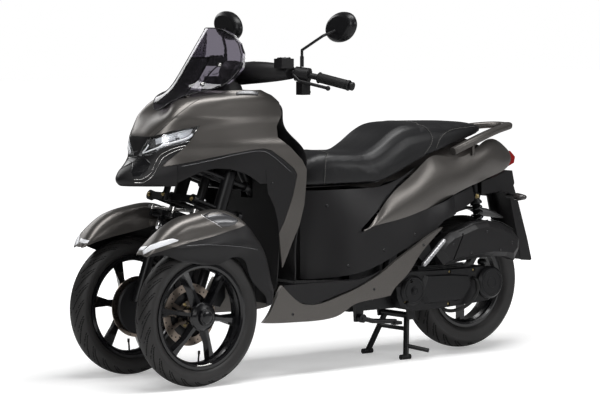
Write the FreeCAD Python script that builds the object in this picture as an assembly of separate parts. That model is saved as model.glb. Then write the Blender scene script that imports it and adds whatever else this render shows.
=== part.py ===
"""Leaning three-wheeled scooter: two steered front wheels on a leaning linkage, one driven rear wheel.

Millimetres. While it is drawn, the origin is on the ground under the front axle:
X points forwards, Y to the machine's left, Z up. Every piece is moved by X_SHIFT when it
is saved, so that the saved origin lies at mid length on the ground.
It stands on its centre stand, with the rear wheel just off the ground.
"""
import FreeCAD
import Part
import math
import os

# driving dimensions
OVERALL_LENGTH = 1980.0
WHEELBASE = 1410.0
TRACK = 410.0
FRONT_TYRE_RADIUS = 250.0
FRONT_TYRE_WIDTH = 90.0
FRONT_RIM_RADIUS = 188.0
FRONT_BEAD_RADIUS = 177.8
REAR_TYRE_RADIUS = 256.0
REAR_TYRE_WIDTH = 130.0
REAR_RIM_RADIUS = 176.0
REAR_BEAD_RADIUS = 165.1
REAR_WHEEL_LIFT = 8.0
CASTER_DEG = 20.0
TRAIL = 68.0
KINGPIN_Y = 130.0
LOWER_PIVOT_H = 384.0
UPPER_PIVOT_H = 494.0
ROD_PIVOT_H = 345.0
ROD_PIVOT_A = 100.0
PIVOT_PIN_RADIUS = 9.0
STEM_RADIUS = 14.0
RUNNING_GAP = 0.05
PANEL = 3.5
SEAT_GAP = 0.3
DISC_RADIUS = 110.0
STAND_PIVOT = (-1085.0, 160.0)
SIDE_STAND_PIVOT = (-800.0, 176.0)
SEAT_HINGE = (-572.0, 668.0)
PLATE_HOLES = (-1653.0, 555.0)
PLATE_HOLE_Y = 55.0
PLATE_NORMAL = (-0.9447, 0.0, 0.3280)
CARRIER_HOLE = (-1440.0, 124.0)
X_SHIFT = OVERALL_LENGTH / 2 - FRONT_TYRE_RADIUS

FRONT_AXLE_Z = FRONT_TYRE_RADIUS
REAR_AXLE_X = -WHEELBASE
REAR_AXLE_Z = REAR_TYRE_RADIUS + REAR_WHEEL_LIFT
HALF_TRACK = TRACK / 2
COS_C = math.cos(math.radians(CASTER_DEG))
SIN_C = math.sin(math.radians(CASTER_DEG))
KINGPIN_X = TRAIL - FRONT_AXLE_Z * SIN_C / COS_C

Vec = FreeCAD.Vector
Y_AXIS = Vec(0, 1, 0)
LEAN_AXIS = Vec(COS_C, 0, SIN_C)
STEER_AXIS = Vec(-SIN_C, 0, COS_C)


# drawing aids
def fork(a, y, h):
    """A point beside the steering axis: a ahead of it, h up along it from axle height."""
    x = KINGPIN_X + a * COS_C - h * SIN_C
    z = FRONT_AXLE_Z + a * SIN_C + h * COS_C
    return Vec(x, y, z)


def box(x0, x1, y0, y1, z0, z1):
    return Part.makeBox(x1 - x0, y1 - y0, z1 - z0, Vec(x0, y0, z0))


def rod(start, end, radius):
    start, end = Vec(*start), Vec(*end)
    return Part.makeCylinder(radius, (end - start).Length, start, end - start)


def cone(start, end, r_start, r_end):
    start, end = Vec(*start), Vec(*end)
    return Part.makeCone(r_start, r_end, (end - start).Length, start, end - start)


def ball(centre, radius):
    return Part.makeSphere(radius, Vec(*centre))


def joined(shapes):
    shapes = list(shapes)
    whole = shapes[0]
    if len(shapes) > 1:
        whole = whole.multiFuse(shapes[1:])
    return whole.removeSplitter()


def tube_run(points, radius):
    """A bent bar: straight runs with round elbows."""
    pieces = [rod(a, b, radius) for a, b in zip(points, points[1:])]
    pieces += [ball(p, radius) for p in points[1:-1]]
    return joined(pieces)


def polygon(points):
    points = [Vec(*p) for p in points]
    return Part.Face(Part.makePolygon(points + points[:1]))


def side_plate(outline, y0, y1):
    """An outline in the side view (x, z), drawn through from y0 to y1."""
    return polygon([(x, y0, z) for x, z in outline]).extrude(Vec(0, y1 - y0, 0))


def front_plate(outline, x0, x1):
    """An outline in the front view (y, z), drawn through from x0 to x1."""
    return polygon([(x0, y, z) for y, z in outline]).extrude(Vec(x1 - x0, 0, 0))


def top_plate(outline, z0, z1):
    """An outline in the plan view (x, y), drawn through from z0 to z1."""
    return polygon([(x, y, z0) for x, y in outline]).extrude(Vec(0, 0, z1 - z0))


def curve(points):
    points = [Vec(*p) for p in points]
    if len(points) == 2:
        return Part.LineSegment(points[0], points[1]).toShape()
    spline = Part.BSplineCurve()
    spline.interpolate(points)
    return spline.toShape()


def smooth_plate(runs, y0, y1):
    """A side-view outline of smooth runs that share their end points, drawn through in Y."""
    edges = [curve([(x, y0, z) for x, z in run]) for run in runs]
    return Part.Face(Part.Wire(edges)).extrude(Vec(0, y1 - y0, 0))


def turned(profile, centre_x, centre_z):
    """A closed (radius, y) profile turned about the wheel axis."""
    face = polygon([(centre_x, y, centre_z + r) for r, y in profile])
    return face.revolve(Vec(centre_x, 0, centre_z), Y_AXIS, 360)


def inward(points, thickness, flip=1.0):
    """The same open curve moved sideways by the thickness, in its own plane (u, v)."""
    moved = []
    for i, (u, v) in enumerate(points):
        u0, v0 = points[max(i - 1, 0)]
        u1, v1 = points[min(i + 1, len(points) - 1)]
        length = math.hypot(u1 - u0, v1 - v0)
        moved.append((u + flip * (v1 - v0) / length * thickness,
                      v - flip * (u1 - u0) / length * thickness))
    return moved


def ribbon(outer, inner):
    """A closed wire: the outer curve, the inner curve and the two short ends."""
    return Part.Wire([curve(outer), curve([outer[-1], inner[-1]]),
                      curve(inner[::-1]), curve([inner[0], outer[0]])])


def loft(wires, ruled=False):
    return Part.makeLoft(wires, True, ruled)


def level_skin(levels, thickness, flip=1.0):
    """A shell from plan curves: {z: [(x, y), ...]}."""
    wires = []
    for z in sorted(levels):
        outer = levels[z]
        inner = inward(outer, thickness, flip)
        wires.append(ribbon([(x, y, z) for x, y in outer], [(x, y, z) for x, y in inner]))
    return loft(wires)


def station_skin(stations, thickness, flip=1.0):
    """A shell from cross-sections: {x: [(y, z), ...]}."""
    wires = []
    for x in sorted(stations):
        outer = stations[x]
        inner = inward(outer, thickness, flip)
        wires.append(ribbon([(x, y, z) for y, z in outer], [(x, y, z) for y, z in inner]))
    return loft(wires)


def both_ways(half):
    """A half curve from the centre plane outwards, continued onto the other side."""
    return [(x, -y) for x, y in half[:0:-1]] + half


def mirrored(shape):
    return shape.mirror(Vec(0, 0, 0), Y_AXIS)


def pair(shape):
    """The piece on the left and its mirror image on the right, in one node."""
    return Part.makeCompound([shape, mirrored(shape)])


def closed_loft(sections, ruled=False):
    """A solid through closed smooth sections of 3-D points."""
    wires = []
    for points in sections:
        spline = Part.BSplineCurve()
        spline.interpolate(Points=[Vec(*p) for p in points], PeriodicFlag=True)
        wires.append(Part.Wire(spline.toShape()))
    return loft(wires, ruled)


def oval(centre, u, v, ru, rv, count=12, power=2.0):
    """Points of a rounded oval about a centre, in the plane of the directions u and v."""
    centre, u, v = Vec(*centre), Vec(*u), Vec(*v)
    points = []
    for i in range(count):
        t = 2 * math.pi * i / count
        c, s = math.cos(t), math.sin(t)
        cu = math.copysign(abs(c) ** (2 / power), c)
        sv = math.copysign(abs(s) ** (2 / power), s)
        p = centre + u * (ru * cu) + v * (rv * sv)
        points.append((p.x, p.y, p.z))
    return points


def reach(start, through, shape, radius):
    """A stay from the start towards a point, ending just short of the first face it meets."""
    start, through = Vec(*start), Vec(*through)
    along = (through - start).normalize()
    side = along.cross(Vec(0.3, 0.5, 0.8)).normalize()
    other = along.cross(side)
    lines = [Part.makeLine(start, start + along * 400)]
    for k in range(12):
        t = math.pi * k / 6
        foot = start + side * (radius * math.cos(t)) + other * (radius * math.sin(t))
        lines.append(Part.makeLine(foot, foot + along * 400))
    hits = Part.makeCompound(lines).common(shape).Vertexes
    ahead = [(v.Point - start).dot(along) for v in hits]
    axis = [d for v, d in zip(hits, ahead) if (v.Point - start - along * d).Length < 0.01]
    near = min(axis)
    length = min(d for d in ahead if d > near - 30)
    return rod(start, start + along * (length - SEAT_GAP), radius)


def save(name, shape):
    shape = shape.copy()
    shape.translate(Vec(X_SHIFT, 0, 0))
    shape.exportStep("parts/" + name + ".step")


# front body shell
# Half plan curves of the nose and its flanks, from the centre plane back along the left side.
NOSE_LEVELS = {
    700: [(170, 0), (162, 25), (145, 45), (115, 75), (75, 105), (10, 135), (-70, 160),
          (-170, 182), (-300, 202), (-470, 222)],
    723: [(190, 0), (183, 20), (168, 42), (138, 72), (93, 102), (25, 135), (-60, 160),
          (-165, 183), (-300, 203), (-478, 226)],
    757: [(160, 0), (156, 25), (143, 48), (117, 78), (80, 105), (20, 138), (-65, 162),
          (-165, 185), (-300, 205), (-482, 228)],
    790: [(118, 0), (117, 25), (112, 50), (96, 75), (65, 102), (12, 136), (-70, 160),
          (-167, 186), (-300, 207), (-481, 228)],
    825: [(107, 0), (107, 25), (103, 50), (91, 76), (62, 104), (8, 138), (-75, 163),
          (-170, 188), (-300, 209), (-460, 227)],
    860: [(104, 0), (104, 27), (99, 57), (83, 80), (55, 106), (0, 138), (-82, 162),
          (-176, 186), (-298, 205), (-430, 217)],
    888: [(92, 0), (92, 28), (87, 58), (72, 82), (43, 106), (-12, 133), (-90, 154),
          (-182, 175), (-297, 192), (-408, 198)],
    925: [(55, 0), (56, 28), (56, 60), (50, 88), (26, 112), (-26, 134), (-102, 150),
          (-190, 164), (-300, 175), (-405, 179)],
    960: [(6, 0), (9, 30), (16, 62), (18, 92), (-2, 114), (-52, 133), (-122, 144),
          (-205, 153), (-308, 160), (-410, 161)],
    988: [(-16, 0), (-13, 30), (-8, 62), (-17, 92), (-42, 113), (-88, 127), (-150, 137),
          (-222, 143), (-320, 149), (-405, 149)],
    1010: [(-36, 0), (-38, 30), (-50, 60), (-73, 86), (-102, 104), (-145, 117), (-200, 127),
           (-260, 133), (-335, 137), (-392, 134)],
    1030: [(-62, 0), (-70, 28), (-95, 52), (-125, 74), (-158, 90), (-200, 102), (-245, 111),
           (-290, 117), (-340, 120), (-372, 117)],
}
# The leg shield's outer edge below the nose, left side.
SHIELD_LEVELS = {
    395: [(-362, 205), (-369, 208), (-377, 211)],
    480: [(-352, 203), (-388, 212), (-426, 218)],
    560: [(-340, 203), (-396, 214), (-450, 222)],
    640: [(-320, 203), (-395, 216), (-470, 225)],
    700: [(-308, 204), (-394, 216), (-479, 226)],
    760: [(-300, 205), (-390, 217), (-482, 228)],
}
GREY_EDGE = [(90, 769), (-26, 786), (-157, 809), (-245, 822), (-289, 825), (-322, 818),
             (-374, 784), (-418, 750), (-431, 728), (-413, 653), (-381, 565), (-360, 520)]
ARCH_EDGE = [(36, 703), (0, 728), (-57, 752), (-105, 760), (-162, 756), (-225, 736),
             (-275, 706), (-318, 659), (-340, 615), (-354, 565), (-362, 500), (-366, 395)]
SHIELD_EDGE = [(-372, 395), (-405, 470), (-441, 546), (-460, 617), (-469, 700), (-470, 745),
               (-452, 779), (-405, 823), (-351, 864), (-362, 900), (-400, 945), (-404, 985),
               (-380, 1012), (-345, 1030)]


def nose_shell():
    levels = {z: both_ways(half) for z, half in NOSE_LEVELS.items()}
    return level_skin(levels, PANEL)


def shield_shell():
    return level_skin(SHIELD_LEVELS, PANEL)


SEAM_PLAN = [(95, 61), (38, 101), (-30, 106), (-88, 108), (-250, 108)]
LAMP_OUTLINE = [(150, 800), (104, 806.8), (70, 834.8), (-13.6, 858.8), (-55.5, 908.2),
                (42, 891.8), (81, 876.8), (104, 866.5), (150, 866)]


def front_cowl(shell, screen):
    gap = 0.6
    left = [(x, y - gap) for x, y in SEAM_PLAN]
    right = [(x, -y) for x, y in left]
    plan = [(300, 61)] + left + right[::-1] + [(300, -61)]
    cowl = shell.common(top_plate(plan, 873.2, 1040))
    bosses = []
    for y, z, x in ((28, 988, -17), (70, 1008, -70)):
        for sign in (1, -1):
            bosses.append(reach((x, sign * y, z), (x + 100, sign * y, z + 20), screen, 6))
    return joined([cowl] + bosses)


def side_cowl(shell, wrap):
    gap = 0.6
    body = shell.fuse(wrap.common(box(-600, 100, 0, 300, 300, 757)))
    grey = inward(GREY_EDGE, 0.6)[1:]
    outline = ([(75, 770), (-15, 858), (-58.6, 910.4), (42, 893.6), (81, 878.6), (110, 868),
                (150, 900), (100, 960), (0, 1036)] + SHIELD_EDGE[::-1] + grey[::-1])
    body = body.common(side_plate(outline, 20, 300))
    left = [(x, y + gap) for x, y in SEAM_PLAN]
    centre = [(300, 62)] + left + [(-600, 60), (-600, -300), (300, -300)]
    return body.cut(top_plate(centre, 860, 1040))


def arch_panel(shell, wrap):
    body = shell.fuse(wrap.common(box(-600, 100, 0, 300, 300, 757)))
    grey = inward(GREY_EDGE, -0.6)[1:]
    start = [(30.8, 775.8)]
    outline = start + grey + ARCH_EDGE[::-1][2:-1] + [(30.8, 712)]
    return body.common(side_plate(outline, 90, 300))


def headlight(shell):
    lens = shell.common(side_plate(LAMP_OUTLINE, 8, 200))
    inner_edge = [(6.6, 780), (8.6, 803), (58.6, 865), (58.6, 1000), (300, 1000), (300, 780)]
    lens = lens.common(front_plate(inner_edge, -200, 200))
    return lens


def nose_face(shell):
    low = [(220, 699), (38, 699), (32, 706), (32, 775.2), (76.2, 768.4), (76.6, 771.2), (-13.4, 857.4), (70, 833.4),
           (104, 805.4), (220, 799)]
    face = shell.common(side_plate(low, -300, 300))
    brow = shell.common(box(60, 220, -62, 62, 799, 872.6))
    for sign in (1, -1):
        lamp = [(sign * y, z) for y, z in ((6, 780), (8, 804), (58, 866), (58, 1000), (300, 1000),
                                           (300, 780))]
        brow = brow.cut(front_plate(lamp, -200, 200))
    return face.fuse(brow).removeSplitter()


SCREEN_LEVELS = {
    # height: centre x, half width, how far back the sides sweep
    952: (28, 70, -4),
    975: (12, 90, 0),
    988: (1, 106, 4),
    1000: (-9, 118, 14),
    1030: (-43, 135, 66),
    1060: (-69, 138, 92),
    1110: (-106, 136, 100),
    1170: (-150, 130, 96),
    1220: (-187, 118, 92),
    1262: (-218, 100, 88),
}
SCREEN_OUTLINE = [(0, 962), (22, 966), (48, 986), (78, 1012), (110, 1032), (124, 1054), (127, 1110),
                  (118, 1160), (106, 1195), (86, 1226), (58, 1245), (25, 1252)]


def windscreen():
    """A tall curved screen, leaning back, whose lower edge runs down to a rounded tongue."""
    wires = []
    for z, (centre, half_width, sweep) in SCREEN_LEVELS.items():
        rows = []
        for i in range(9):
            y = half_width * (i - 4) / 4
            rows.append((centre - sweep * (y / 100) ** 2, y))
        inner = inward(rows, 4.0)
        wires.append(ribbon([(x, y, z) for x, y in rows], [(x, y, z) for x, y in inner]))
    sheet = loft(wires)
    outline = SCREEN_OUTLINE + [(-y, z) for y, z in SCREEN_OUTLINE[:0:-1]]
    return sheet.common(front_plate(outline, -400, 50))


# rider's side of the front
def leg_shield():
    """The inner panel that faces the rider's legs, with the dash on top of it."""
    edge = {1026: (-352, 112, -372), 985: (-398, 143, -412), 925: (-399, 174, -424),
            888: (-400, 193, -430), 825: (-452, 222, -436), 757: (-474, 222, -441),
            640: (-462, 220, -446), 560: (-443, 217, -450), 480: (-436, 205, -455),
            400: (-446, 190, -459), 340: (-452, 180, -462)}
    levels = {}
    for z, (xe, ye, xc) in edge.items():
        levels[z] = [(xe, ye), (xe * 0.4 + xc * 0.6, ye * 0.8), (xc, ye * 0.45), (xc, 0),
                     (xc, -ye * 0.45), (xe * 0.4 + xc * 0.6, -ye * 0.8), (xe, -ye)]
    panel = level_skin(levels, 5.0)
    dash = top_plate([(-366, 108), (-300, 110), (-215, 92), (-150, 62), (-135, 0), (-150, -62),
                      (-215, -92), (-300, -110), (-366, -108)], 1018, 1026)
    meter = closed_loft([oval((-262, 0, 1020), (1, 0, 0), (0, 1, 0), 62, 84, power=3.0),
                         oval((-268, 0, 1058), (1, 0, 0.4), (0, 1, 0), 50, 72, power=3.0)])
    hole = rod(fork(0, 0, 780), fork(0, 0, 860), 30)
    return joined([panel, dash, meter]).cut(hole)


def bulkhead():
    """The wall behind the front wheels, joined to the arch panels' inner edges."""
    outline = [(34, 636), (34, 860), (150, 860), (190, 820), (196, 640), (190, 470), (176, 330),
               (150, 300)]
    outline = outline + [(-y, z) for y, z in outline[::-1]]
    return front_plate(outline, -378, -374)


# floor and sills
def floorboard():
    deck = top_plate([(-455, 176), (-520, 186), (-640, 196), (-800, 196), (-800, -196),
                      (-640, -196), (-520, -186), (-455, -176)], 322, 330)
    tunnel = [(-540, 92), (-600, 132), (-700, 182), (-810, 194)]
    deck = deck.cut(top_plate(tunnel + [(x, -y) for x, y in tunnel[::-1]], 300, 340))
    edge = smooth_plate([[(-385, 322), (-420, 290), (-455, 268), (-510, 258), (-580, 266),
                          (-640, 282), (-700, 298), (-760, 320), (-840, 356)],
                         [(-840, 356), (-760, 334), (-640, 330)], [(-640, 330), (-455, 330)],
                         [(-455, 330), (-385, 330)], [(-385, 330), (-385, 322)]], 196, 206)
    rib = box(-800, -455, 186, 197.5, 318, 328)
    side = edge.fuse(rib)
    return joined([deck, side, mirrored(side)])


def sill(sign=1):
    """The painted lower side rail, sweeping up to the rear under the passenger's foot."""
    top = [(-396, 308), (-426, 282), (-458, 262), (-510, 252), (-580, 260), (-640, 276),
           (-700, 292), (-760, 314), (-840, 350), (-900, 386), (-1000, 438), (-1060, 470),
           (-1135, 501)]
    rear = [(-1135, 501), (-1060, 440), (-1010, 392), (-985, 360), (-940, 318), (-900, 288),
            (-880, 262)]
    bottom = [(-880, 262), (-760, 250), (-700, 238), (-640, 208), (-590, 197), (-440, 195),
              (-330, 199), (-285, 203)]
    front = [(-285, 203), (-325, 250), (-352, 300), (-372, 331)]
    plate = smooth_plate([top, rear, bottom, front, [(-372, 331), (-396, 308)]], 198, 212)
    shaved = plate.cut(Part.makeBox(1200, 40, 200, Vec(-1300, 212, 190), Vec(0, -0.25, 1)))
    return shaved


# middle and tail
COVER_STATIONS = {
    -545: [(96, 336), (96, 420), (94, 520), (92, 600), (90, 656)],
    -600: [(136, 336), (130, 420), (124, 520), (118, 600), (112, 657)],
    -700: [(186, 346), (180, 430), (166, 520), (152, 600), (140, 658)],
    -800: [(198, 366), (194, 440), (188, 520), (166, 610), (148, 658)],
    -900: [(201, 404), (198, 470), (190, 550), (172, 620), (150, 666)],
    -1000: [(199, 446), (196, 500), (186, 570), (172, 640), (150, 700)],
    -1100: [(192, 486), (189, 530), (178, 600), (160, 680), (140, 738)],
    -1235: [(172, 512), (172, 545), (160, 620), (145, 700), (130, 775)],
}
COVER_END = {
    -1226: [(172.6, 546), (171, 556), (164, 585), (156, 608)],
    -1300: [(156, 568), (154, 585), (150, 605), (145, 627)],
    -1352: [(144, 590), (142, 604), (138, 622), (132, 640)],
}
TAIL_STATIONS = {
    -762: [(197, 512), (201, 509), (202, 506), (199, 502)],
    -850: [(192, 583), (201, 563), (205, 546), (202, 529)],
    -950: [(180, 663), (194, 630), (201, 590), (196, 543)],
    -1050: [(166, 722), (183, 685), (193, 632), (186, 564)],
    -1150: [(155, 768), (172, 730), (182, 668), (172, 589)],
    -1230: [(148, 757), (163, 725), (171, 680), (158, 613)],
    -1300: [(146, 760), (155, 730), (160, 690), (146, 634)],
    -1380: [(128, 790), (143, 762), (148, 715), (132, 653)],
    -1460: [(107, 818), (129, 786), (134, 735), (116, 673)],
    -1520: [(92, 808), (112, 778), (118, 735), (106, 687)],
    -1565: [(78, 786), (96, 768), (102, 738), (94, 702)],
    -1602: [(58, 762), (72, 752), (77, 736), (70, 716)],
}


def body_cover():
    """Under-seat cover: both flanks and the front of the tunnel, closed in front."""
    stations = {}
    for x, half in COVER_STATIONS.items():
        stations[x] = half
    left = station_skin(stations, 4.0, -1.0)
    front = box(-549, -545, -94, 94, 336, 656)
    hx, hz = SEAT_HINGE
    ears = [side_plate([(-546, 630), (-546, 652), (hx + 7, hz), (hx - 8, hz), (hx - 4, 650)], 36, 44),
            rod((hx, 36, hz), (hx, 44, hz), 9)]
    pin = rod((hx, -44, hz), (hx, 44, hz), 4)
    cover = joined([left, mirrored(left), front, pin] + ears + [mirrored(e) for e in ears])
    rising = [x for x in sorted(TAIL_STATIONS) if x > -1240]
    falling = [x for x in rising[::-1] if x > -1160]
    behind = [(-1240, 614)]
    behind += [(x, TAIL_STATIONS[x][-1][1] - 1) for x in rising]
    behind += [(x, TAIL_STATIONS[x][0][1] + 1) for x in falling]
    behind += [(-1180, 800), (-1240, 800)]
    below = [(-1100, 460), (-1110, 487), (-1161, 527), (-1240, 546), (-1240, 460)]
    for y0, y1 in ((100, 300), (-300, -100)):
        cover = cover.cut(side_plate(behind, y0, y1)).cut(side_plate(below, y0, y1))
    end = station_skin(COVER_END, 4.0, -1.0)
    return joined([cover, end, mirrored(end)])


def storage_box():
    """The open tub under the seat, with its flange out to the cover."""
    tub = box(-905, -606, -100, 100, 420, 650).cut(box(-902, -609, -97, 97, 423, 660))
    rim = [(-584, 98), (-610, 108), (-700, 136), (-800, 144), (-915, 146)]
    flange = top_plate(rim + [(x, -y) for x, y in rim[::-1]], 646, 650)
    flange = flange.cut(box(-902, -609, -97, 97, 640, 660))
    return joined([tub, flange])


def tail_cowl():
    return station_skin(TAIL_STATIONS, 3.5, 1.0)


def grab_bar(tail):
    """A flat loop behind the seat, from the flanks round the tail."""
    path = [(-1238, 149, 779), (-1330, 140, 808), (-1440, 124, 839), (-1540, 92, 856),
            (-1610, 50, 862), (-1636, 0, 862)]
    sections = []
    for (x, y, z), (ru, rv) in zip(path, ((14, 15), (16, 15), (17, 14), (18, 13), (18, 13), (16, 12))):
        i = path.index((x, y, z))
        x0, y0, z0 = path[max(i - 1, 0)]
        x1, y1, z1 = path[min(i + 1, len(path) - 1)]
        if i == len(path) - 1:
            x1, y1, z1 = x, -50, z
            x0, y0, z0 = x, 50, z
        along = Vec(x1 - x0, y1 - y0, z1 - z0).normalize()
        across = along.cross(Vec(0, 0, 1)).normalize()
        up = across.cross(along)
        sections.append(oval((x, y, z), tuple(across), tuple(up), ru, rv, power=3.0))
    left = closed_loft(sections)
    loop = joined([left, mirrored(left)])
    x, y = CARRIER_HOLE
    for sign in (1, -1):
        loop = loop.cut(rod((x, sign * y, 780), (x, sign * y, 900), 4.25))
        loop = loop.fuse(rod((-1340, sign * 150, 806), (-1340, sign * 150, 763), 5.5))
        loop = loop.fuse(reach((-1340, sign * 150, 770), (-1340, 0, 770), tail, 4))
    return loop


def tail_lamp():
    outline = [(-1604, 702), (-1640, 716), (-1646, 740), (-1620, 764), (-1590, 764), (-1575, 702)]
    return side_plate(outline, -54, 54)


def rear_fender():
    """The black guard under the tail, down to the plate holder, with the rear indicators."""
    under = side_plate([(-1300, 618), (-1400, 640), (-1520, 672), (-1566, 690), (-1600, 690),
                        (-1612, 640), (-1590, 600), (-1545, 612), (-1420, 600)], -88, 88)
    under = under.cut(box(-1440, -1280, 64, 100, 580, 700)).cut(box(-1440, -1280, -100, -64, 580, 700))
    holder = front_plate([(-66, 645), (66, 645), (69, 560), (68, 420), (62, 330), (-62, 330),
                          (-68, 420), (-69, 560)], -1800, -1500)
    holder = holder.common(side_plate([(-1590, 645), (-1622, 645), (-1730, 334), (-1722, 330),
                                       (-1672, 335)], -100, 100))
    pocket = side_plate([(-1500, 636), (-1613, 636), (-1719, 331), (-1719, 300), (-1500, 300)],
                        -60, 60)
    holder = holder.cut(pocket)
    for sign in (1, -1):
        x, z = PLATE_HOLES
        hole = rod((x - 20 * PLATE_NORMAL[0], sign * PLATE_HOLE_Y, z - 20 * PLATE_NORMAL[2]),
                   (x + 20 * PLATE_NORMAL[0], sign * PLATE_HOLE_Y, z + 20 * PLATE_NORMAL[2]), 3.5)
        holder = holder.cut(hole)
    stalk = rod((-1600, 60, 590), (-1585, 150, 592), 8)
    lens = closed_loft([oval((-1568, 150, 592), (1, 0, 0), (0, 0, 1), 20, 15),
                        oval((-1575, 185, 592), (1, 0, 0), (0, 0, 1), 12, 9)])
    lamp = stalk.fuse(lens)
    return joined([under, holder, lamp, mirrored(lamp)])


def seat():
    """Stepped dual seat, lofted along its length."""
    stations = ((-566, 92, 672, 672, 760), (-600, 112, 672, 690, 783), (-660, 132, 672, 700, 797),
                (-740, 146, 672, 706, 795), (-830, 156, 672, 706, 796), (-890, 160, 676, 716, 822),
                (-960, 160, 702, 740, 866), (-1020, 158, 728, 766, 889), (-1100, 154, 757, 792, 893),
                (-1200, 146, 787, 815, 892), (-1310, 128, 812, 838, 889), (-1400, 104, 832, 852, 882),
                (-1440, 84, 842, 856, 872))
    wires = []
    for x, w, low, mid, top in stations:
        half = [(w * 0.92, low), (w, mid), (w * 0.93, mid + (top - mid) * 0.55),
                (w * 0.70, top - 8), (w * 0.35, top - 1), (0, top)]
        full = half + [(-y, z) for y, z in half[-2::-1]]
        over = [(x, y, z) for y, z in full]
        wires.append(Part.Wire([curve(over), curve([over[-1], over[0]])]))
    cushion = loft(wires)
    hx, hz = SEAT_HINGE
    knuckle_tube = rod((hx, -32, hz), (hx, 32, hz), 8)
    base = joined([cushion.cut(rod((hx, -60, hz), (hx, 60, hz), 14)), knuckle_tube,
                   box(hx - 30, hx, -32, 32, hz + 2, hz + 12)])
    return base.cut(rod((hx, -60, hz), (hx, 60, hz), 4 + RUNNING_GAP))


# frame and drive
def frame(covers):
    head = rod(fork(0, 0, 572), fork(0, 0, 775), 26)
    beam = rod(fork(-30, 0, 585), fork(140, 0, 585), 14)
    front_leg = rod(fork(150, 0, 600), fork(150, 0, LOWER_PIVOT_H - 20), 12)
    front_leg = front_leg.fuse(rod(fork(130, 0, 585), fork(152, 0, 585), 14))
    rear_leg = rod(fork(-112, 0, 620), fork(-112, 0, LOWER_PIVOT_H - 20), 12)
    rear_beam = rod(fork(0, 0, 600), fork(-112, 0, 600), 14)
    pins = []
    for h in (LOWER_PIVOT_H, UPPER_PIVOT_H):
        pins.append(rod(fork(108, 0, h), fork(150, 0, h), PIVOT_PIN_RADIUS))
        pins.append(rod(fork(-74, 0, h), fork(-112, 0, h), PIVOT_PIN_RADIUS))
    down = tube_run([fork(-110, 0, 600), (-402, 0, 640), (-412, 0, 330), (-470, 0, 262)], 19)
    left = [tube_run([(-470, 0, 262), (-520, 110, 250), (-860, 120, 250), (-930, 120, 330),
                      (-960, 118, 560), (-1130, 112, 640), (-1400, 84, 690), (-1500, 60, 700)], 14),
            tube_run([(-1000, 118, 578), (-1210, 112, 470)], 11),
            rod((-1400, 84, 690), (-1400, 94, 614.6), 12)]
    rear_cross = rod((-1400, -84, 690), (-1400, 84, 690), 12)
    seat_cross = rod((-960, -118, 560), (-960, 118, 560), 12)
    low_cross = rod((-640, -118, 250), (-640, 118, 250), 12)
    sx, sz = SIDE_STAND_PIVOT
    side_lug = side_plate([(sx - 16, sz - 14), (sx + 16, sz - 14), (sx + 22, 246), (sx - 22, 246)],
                          112, 128)
    side_pin = rod((sx, 120, sz), (sx, 152, sz), 6)
    parts = [side_lug, side_pin, head, beam, front_leg, rear_leg, rear_beam, down, rear_cross,
             seat_cross, low_cross]
    parts += pins + left + [mirrored(s) for s in left] + stays(covers)
    body = joined(parts)
    return body.cut(rod(fork(0, 0, 560), fork(0, 0, 800), STEM_RADIUS + 2 + RUNNING_GAP))


def stays(covers):
    """Brackets from the frame to the panels, floor, box and engine that it carries."""
    nose = rod((-87, 0, 864), (30, 0, 864), 9)
    found = [nose, reach((20, 0, 864), (120, 0, 864), covers["nose_face"], 9),
             reach((20, 0, 866), (20, 0, 980), covers["front_cowl"], 7),
             reach((-46, 0, 752), (150, 0, 752), covers["nose_face"], 8),
             rod((-404, -128, 540), (-404, 128, 540), 8),
             reach((-1500, 60, 700), (-1500, 60, 640), covers["rear_fender"], 8),
             reach((-1500, -60, 700), (-1500, -60, 640), covers["rear_fender"], 8)]
    for sign in (1, -1):
        found.append(reach((20, 0, 864), (20, sign * 90, 864), covers["headlights"], 6))
        found.append(reach((-262, sign * 20, 908), (-262, sign * 180, 908), covers["side_cowls"], 8))
        found.append(reach((-404, sign * 100, 540), (-404, sign * 220, 540), covers["side_cowls"], 8))
        found.append(reach((-404, sign * 116, 540), (-500, sign * 116, 540), covers["leg_shield"], 8))
        found.append(reach((-404, sign * 116, 540), (-300, sign * 116, 540), covers["bulkhead"], 8))
        found.append(reach((-340, sign * 60, 864), (-340, sign * 220, 864), covers["side_cowls"], 8))
        found.append(rod((-340, 0, 864), (-340, sign * 70, 864), 8))
        found.append(reach((-331, sign * 5, 762), (-331, sign * 230, 762), covers["arch_panels"], 7))
        found.append(reach((-530, sign * 112, 250), (-530, sign * 112, 330), covers["floorboard"], 8))
        found.append(reach((-640, sign * 118, 250), (-640, sign * 210, 250), covers["sills"], 8))
        found.append(reach((-952, sign * 119, 500), (-952, sign * 210, 500), covers["body_cover"], 8))
        found.append(reach((-1400, sign * 84, 690), (-1400, sign * 160, 690), covers["tail_cowls"], 8))
        found.append(reach((-960, sign * 60, 560), (-860, sign * 60, 560), covers["storage_box"], 8))
        found.append(reach((-900, sign * 120, 296), (-900, 0, 296), covers["engine"], 10))
        found.append(reach((-1500, sign * 40, 700), (-1600, sign * 34, 730), covers["tail_lamp"], 6))
    found.append(rod((-1500, -60, 700), (-1500, 60, 700), 9))
    return found


def engine():
    block = box(-1010, -780, -92, 92, 196, 400)
    barrel = rod((-800, 0, 300), (-690, 0, 320), 62)
    carrier = box(-1100, -1000, -118, -84, 210, 330)
    shock_lug = side_plate([(-1376, 280), (-1422, 330.3), (-1450, 330.3), (-1440, 262)], -108, -90)
    arm = side_plate([(-1010, 210), (-1010, 330), (-1380, 292), (-1440, 264), (-1400, 236)],
                     -118, -88)
    stub = rod((REAR_AXLE_X, -118, REAR_AXLE_Z), (REAR_AXLE_X, 92, REAR_AXLE_Z), 12)
    lug = box(-1115, -1000, -91.5, 91.5, 205, 250)
    return joined([block, barrel, arm, stub, lug, shock_lug, stand_bracket()])


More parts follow.
